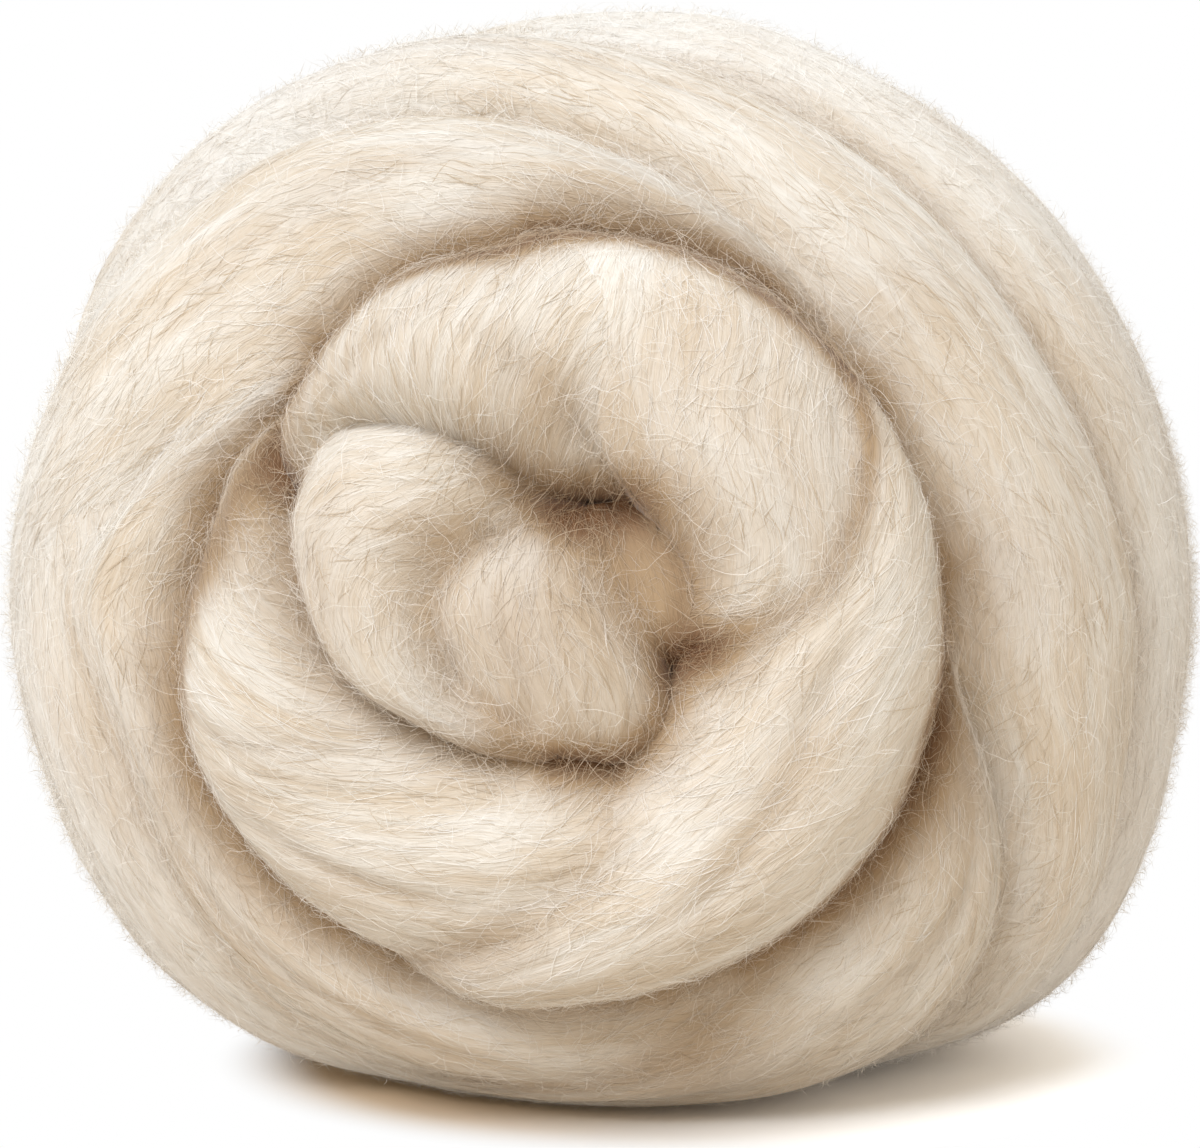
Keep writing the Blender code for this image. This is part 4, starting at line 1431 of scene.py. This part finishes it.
# The noise that marks the wool: its changes a mm across and along the run, which noise it is, its
# detail and its roughness. Wander and crimp shift the others sideways by so many mm.
GRAINS = {
    "wander": (0.10, 0.07, 3.0, 2.0, 0.5),
    "crimp": (0.5, 0.30, 9.0, 1.0, 0.5),
    "patches": (0.12, 0.035, 5.0, 2.0, 0.5),
    "locks": (0.45, 0.035, 1.0, 2.0, 0.5),
    "streaks": (1.6, 0.08, 2.0, 3.0, 0.62),
    "hairs": (5.5, 0.22, 4.0, 3.0, 0.65),
}
WANDER_MM = 2.4
CRIMP_MM = 0.15

# Over which sums of the noise the wool turns warmer, comes out of the deep streaks, and turns paler.
# The deepest streaks still keep DEEP_FLOOR of the cream, and the palest take only PALE_MOST of PALE.
WARM_REACH = (0.85, 1.35)
DEEP_REACH = (0.33, 0.52)
PALE_REACH = (0.48, 0.70)
DEEP_FLOOR = 0.38
PALE_MOST = 0.4

# Over which tones a fibre goes from tan to cream, and from cream to pale.
CREAM_REACH = (0.0, 0.5)
PALE_FIBRE_REACH = (0.45, 0.9)


def bare_material(name):
    """A material with one Principled shader, and a wire to start its nodes from."""
    material = bpy.data.materials.new(name)
    material.use_nodes = True
    return material, Wire(material.node_tree, None)


def finished(material, wires, values):
    """The material, its shader fitted with wires and with what is the same all over. It is no lamp."""
    tree = material.node_tree
    shader = tree.nodes["Principled BSDF"]
    for socket, wire in wires.items():
        tree.links.new(wire.socket, shader.inputs[socket])
    for socket, value in values.items():
        shader.inputs[socket].default_value = value
    material.cycles.emission_sampling = "NONE"
    return material


def with_painted_shade(shade, wool):
    """Painted shade in the colour of wool: honey at half the depth of shade and umber at full depth."""
    honey = (shade * 2.0).mixed(wool, HONEY_SHADE)
    return (shade * 2.0 - 1.0).mixed(honey, UMBER_SHADE)


def outline_painted_haze(start):
    """How much painted haze, for fine hair looked through, lies on the wool, from 0 over the ball to 1 at
    its outline.
    """
    place = start.node("ShaderNodeTexCoord", output="Object")
    outward = place.vectors("SUBTRACT", BALL_MIDDLE).vectors("MULTIPLY", BALL_SHAPE).vectors("NORMALIZE")
    edge_on = start.node("ShaderNodeLayerWeight", None, {"Blend": 0.5, "Normal": outward}, output="Facing")
    return edge_on.held(*HAZE_REACH)


def painted_shade_and_haze(start, shade, wool):
    """The colour of wool with its painted shade and paled by the painted haze, and the painted glow of the
    haze.
    """
    haze = outline_painted_haze(start)
    colour = (haze * HAZE_TINT).mixed(with_painted_shade(shade, wool), MIST)
    return colour, (haze * haze * HAZE_PAINTED_GLOW).mixed(BLACK, WHITE)


def grained(across, along, name):
    """The noise of one name in GRAINS, at places across and along the run."""
    wide, long, which, detail, roughness = GRAINS[name]
    return across.grain(across.joined(across * wide, along * long, which), detail, roughness)


def skin_wool():
    """Combed wool seen as a mass: locks and streaks along the run, warmer and darker with painted shade, and
    a painted haze at the outline.
    """
    material, start = bare_material("combed_wool")
    across, along = start.node("ShaderNodeUVMap", {"uv_map": "Run"}).first_two()
    shade = start.node("ShaderNodeAttribute", {"attribute_name": "shade"}, output="Fac")
    wander = grained(across, along, "wander") * WANDER_MM
    crimp = grained(across, along, "crimp") * CRIMP_MM
    place = across + wander + crimp
    patches = grained(place, along, "patches")
    locks = grained(place, along, "locks")
    streaks = grained(place, along, "streaks")
    hairs = grained(place, along, "hairs")
    warm = (patches * 0.9 + locks * 0.7 + streaks * 0.6).held(*WARM_REACH)
    deep = (streaks * 0.5 + hairs * 0.5).held(*DEEP_REACH)
    pale = (streaks * 0.6 + hairs * 0.4).held(*PALE_REACH)
    wool = warm.mixed(CREAM, OATMEAL)
    wool = (deep * (1.0 - DEEP_FLOOR) + DEEP_FLOOR).mixed(EARTH, wool)
    wool = (pale * PALE_MOST).mixed(wool, PALE)
    # Painted shade from the shade attribute, and a painted haze with a painted glow at the outline.
    colour, glow = painted_shade_and_haze(start, shade, wool)
    height = locks * 0.7 + streaks * 0.8 + hairs * 0.5
    bump = start.node("ShaderNodeBump", None, {"Strength": 0.7, "Distance": 0.0005, "Height": height})
    same_all_over = {
        "Roughness": 0.85,
        "Sheen Weight": 0.35,
        "Sheen Roughness": 0.4,
        "Sheen Tint": PALE,
        "Specular IOR Level": 0.05,
        "Emission Strength": 1.0,
    }
    return finished(material, {"Base Color": colour, "Normal": bump, "Emission Color": glow}, same_all_over)


def fibre_wool():
    """Single fibres: each has its own tone, and all are warmer and darker with the painted shade where they
    lie.
    """
    material, start = bare_material("wool_fibre")
    # The second number of the map is the painted shade of the fibre.
    tone, shade = start.node("ShaderNodeUVMap", {"uv_map": "OFBake"}).first_two()
    fibre = tone.held(*CREAM_REACH).mixed(TAN, CREAM)
    fibre = tone.held(*PALE_FIBRE_REACH).mixed(fibre, PALE)
    # Painted shade from the map, and a painted haze with a painted glow at the outline.
    colour, glow = painted_shade_and_haze(start, shade, fibre)
    same_all_over = {
        "Roughness": 0.6,
        "Sheen Weight": 0.25,
        "Sheen Tint": PALE,
        "Specular IOR Level": 0.15,
        "Specular Tint": CREAM,
        "Emission Strength": 1.0,
    }
    return finished(material, {"Base Color": colour, "Emission Color": glow}, same_all_over)


# The floor: its painted shadow tint under the ball, warm there, and to its left, its painted light to the
# right, the even white far out, and what it throws back on the ball.
FLOOR_UNDER_PAINTED_SHADOW = (1.28, 0.94, 0.58, 1.0)
FLOOR_LEFT_PAINTED_SHADOW = (0.68, 0.61, 0.52, 1.0)
FLOOR_RIGHT_PAINTED_LIGHT = (1.72, 1.76, 1.80, 1.0)
FLOOR_FAR = (1.0, 1.0, 1.0, 1.0)
FLOOR_BOUNCE = (0.72, 0.64, 0.54, 1.0)

# The painted shadow tint under the ball fades between these distances from the middle of its shadow, and
# the painted shadow of the left into the painted light of the right between these places across.
SHADOW_MIDDLE = (-0.009, -0.006, 0.0)
UNDER_REACH = (0.012, 0.042)
SIDE_REACH = (-0.040, 0.052)

# The white takes over about an oval: its middle and half sizes, across and away from the viewer, and
# the shares of its size between which it does.
OVAL_MIDDLE = (0.0105, -0.006)
OVAL_HALF = (0.0590, 0.046)
OVAL_REACH = (0.80, 1.04)


def floor_material():
    """A floor with real shadow and a painted shadow tint round the ball, even white far out, that throws
    back only some light.
    """
    material, start = bare_material("white_floor")
    place = start.node("ShaderNodeTexCoord", output="Object")
    across = place.first_two()[0]
    # Painted shadow on the left of the ball and painted light on its right, then a warm painted shadow tint
    # under it.
    sides = across.held(*SIDE_REACH).mixed(FLOOR_LEFT_PAINTED_SHADOW, FLOOR_RIGHT_PAINTED_LIGHT)
    near = place.vectors("DISTANCE", SHADOW_MIDDLE, output="Value")
    tint = near.held(*UNDER_REACH).mixed(FLOOR_UNDER_PAINTED_SHADOW, sides)
    scale = [1.0 / half for half in OVAL_HALF] + [0.0]
    shift = [-middle / half for middle, half in zip(OVAL_MIDDLE, OVAL_HALF)] + [0.0]
    far = place.vectors("MULTIPLY_ADD", scale, shift).vectors("LENGTH", output="Value")
    seen = start.node("ShaderNodeLightPath")
    bright = start.node("ShaderNodeBsdfDiffuse", None, {"Color": tint})
    white = start.node("ShaderNodeEmission", None, {"Color": FLOOR_FAR})
    bright = start.node("ShaderNodeMixShader", None, {0: far.held(*OVAL_REACH), 1: bright, 2: white})
    dull = start.node("ShaderNodeBsdfDiffuse", None, {"Color": FLOOR_BOUNCE})
    both = start.node("ShaderNodeMixShader", None, {0: seen, 1: dull, 2: bright})
    tree = material.node_tree
    tree.links.new(both.socket, tree.nodes["Material Output"].inputs["Surface"])
    tree.nodes.remove(tree.nodes["Principled BSDF"])
    material.cycles.emission_sampling = "NONE"
    return material


# The studio: surroundings that are seen as an even white but light the ball less and more warmly, and
# broad soft lights. Each is a name, the place it shines from, its spread in degrees, its strength and
# its colour.
AMBIENT = 0.45
AMBIENT_COLOUR = (1.0, 0.91, 0.79, 1.0)
LIGHTS = (
    ("key", (-0.43, -0.53, 0.735), 42.0, 2.34, (0.96, 1.0, 1.06)),
    ("fill", (0.75, -0.60, 0.25), 60.0, 0.32, (1.0, 0.96, 0.92)),
    ("back", (0.05, 0.62, 0.78), 60.0, 0.72, (0.97, 1.0, 1.03)),
)

# The camera stands before the ball and looks down on it a little.
CAMERA_LENS = 102.7
CAMERA_DISTANCE = 0.44
CAMERA_ELEVATION = math.radians(7.0)
CAMERA_AIM = (-0.0009, 0.0, 0.0583)
CAMERA_SHIFT = (0.0, 26.0 / 1200.0)


def studio():
    """The floor, the white surroundings and the lights."""
    floor = bpy.data.meshes.new("floor")
    far = 8.0
    corners = [(-far, -far, 0), (far, -far, 0), (far, far, 0), (-far, far, 0)]
    floor.from_pydata(corners, [], [(0, 1, 2, 3)])
    floor.materials.append(floor_material())
    ground = bpy.data.objects.new("floor", floor)
    bpy.context.scene.collection.objects.link(ground)
    world = bpy.data.worlds.new("studio")
    world.use_nodes = True
    bpy.context.scene.world = world
    tree = world.node_tree
    backdrop = tree.nodes["Background"]
    start = Wire(tree, None)
    seen = start.node("ShaderNodeLightPath")
    strength = seen * (1.0 - AMBIENT) + AMBIENT
    tree.links.new(strength.socket, backdrop.inputs["Strength"])
    tint = seen.mixed(AMBIENT_COLOUR, WHITE)
    tree.links.new(tint.socket, backdrop.inputs["Color"])
    for name, place, spread, strength, colour in LIGHTS:
        lamp = bpy.data.lights.new(name, "SUN")
        lamp.angle = math.radians(spread)
        lamp.energy = strength
        lamp.color = colour
        holder = bpy.data.objects.new(name, lamp)
        holder.location = place
        holder.rotation_euler = (-Vector(place)).to_track_quat("-Z", "Y").to_euler()
        bpy.context.scene.collection.objects.link(holder)
    bpy.context.scene.view_settings.view_transform = "Standard"


def camera():
    """The camera, aimed near the middle of the ball."""
    lens = bpy.data.cameras.new("camera")
    lens.lens = CAMERA_LENS
    lens.sensor_width = 36.0
    lens.sensor_fit = "HORIZONTAL"
    lens.shift_x, lens.shift_y = CAMERA_SHIFT
    lens.clip_start = 0.01
    holder = bpy.data.objects.new("camera", lens)
    away = Vector((0.0, -math.cos(CAMERA_ELEVATION), math.sin(CAMERA_ELEVATION)))
    holder.location = Vector(CAMERA_AIM) + away * CAMERA_DISTANCE
    holder.rotation_euler = (-away).to_track_quat("-Z", "Y").to_euler()
    bpy.context.scene.collection.objects.link(holder)
    bpy.context.scene.camera = holder


def main():
    """The skins, the fibres and hairs on them, the studio and the camera."""
    random = np.random.default_rng(SEED)
    mass = skin_wool()
    hair = fibre_wool()
    skins = [Skin(SEED_STEP * number + SKIN_SEED, *facts) for number, facts in enumerate(PASSES)]
    shade = Shade(let_meet(skins))
    for skin in skins:
        skin.shade = shade.at(skin.places)
        skin_piece(skin, mass)
    tree = tree_of(skins)
    for kind, facts in FIBRES.items():
        paths = spread_fibres(kind, skins, tree, random)
        fibre_pieces(kind + "_fibres", paths, facts, hair, random)
    for kind, facts in HAIRS.items():
        paths = hair_paths(kind, skins, tree, shade, random)
        fibre_pieces(kind + "_hairs", paths, facts, hair, random)
    studio()
    camera()


main()
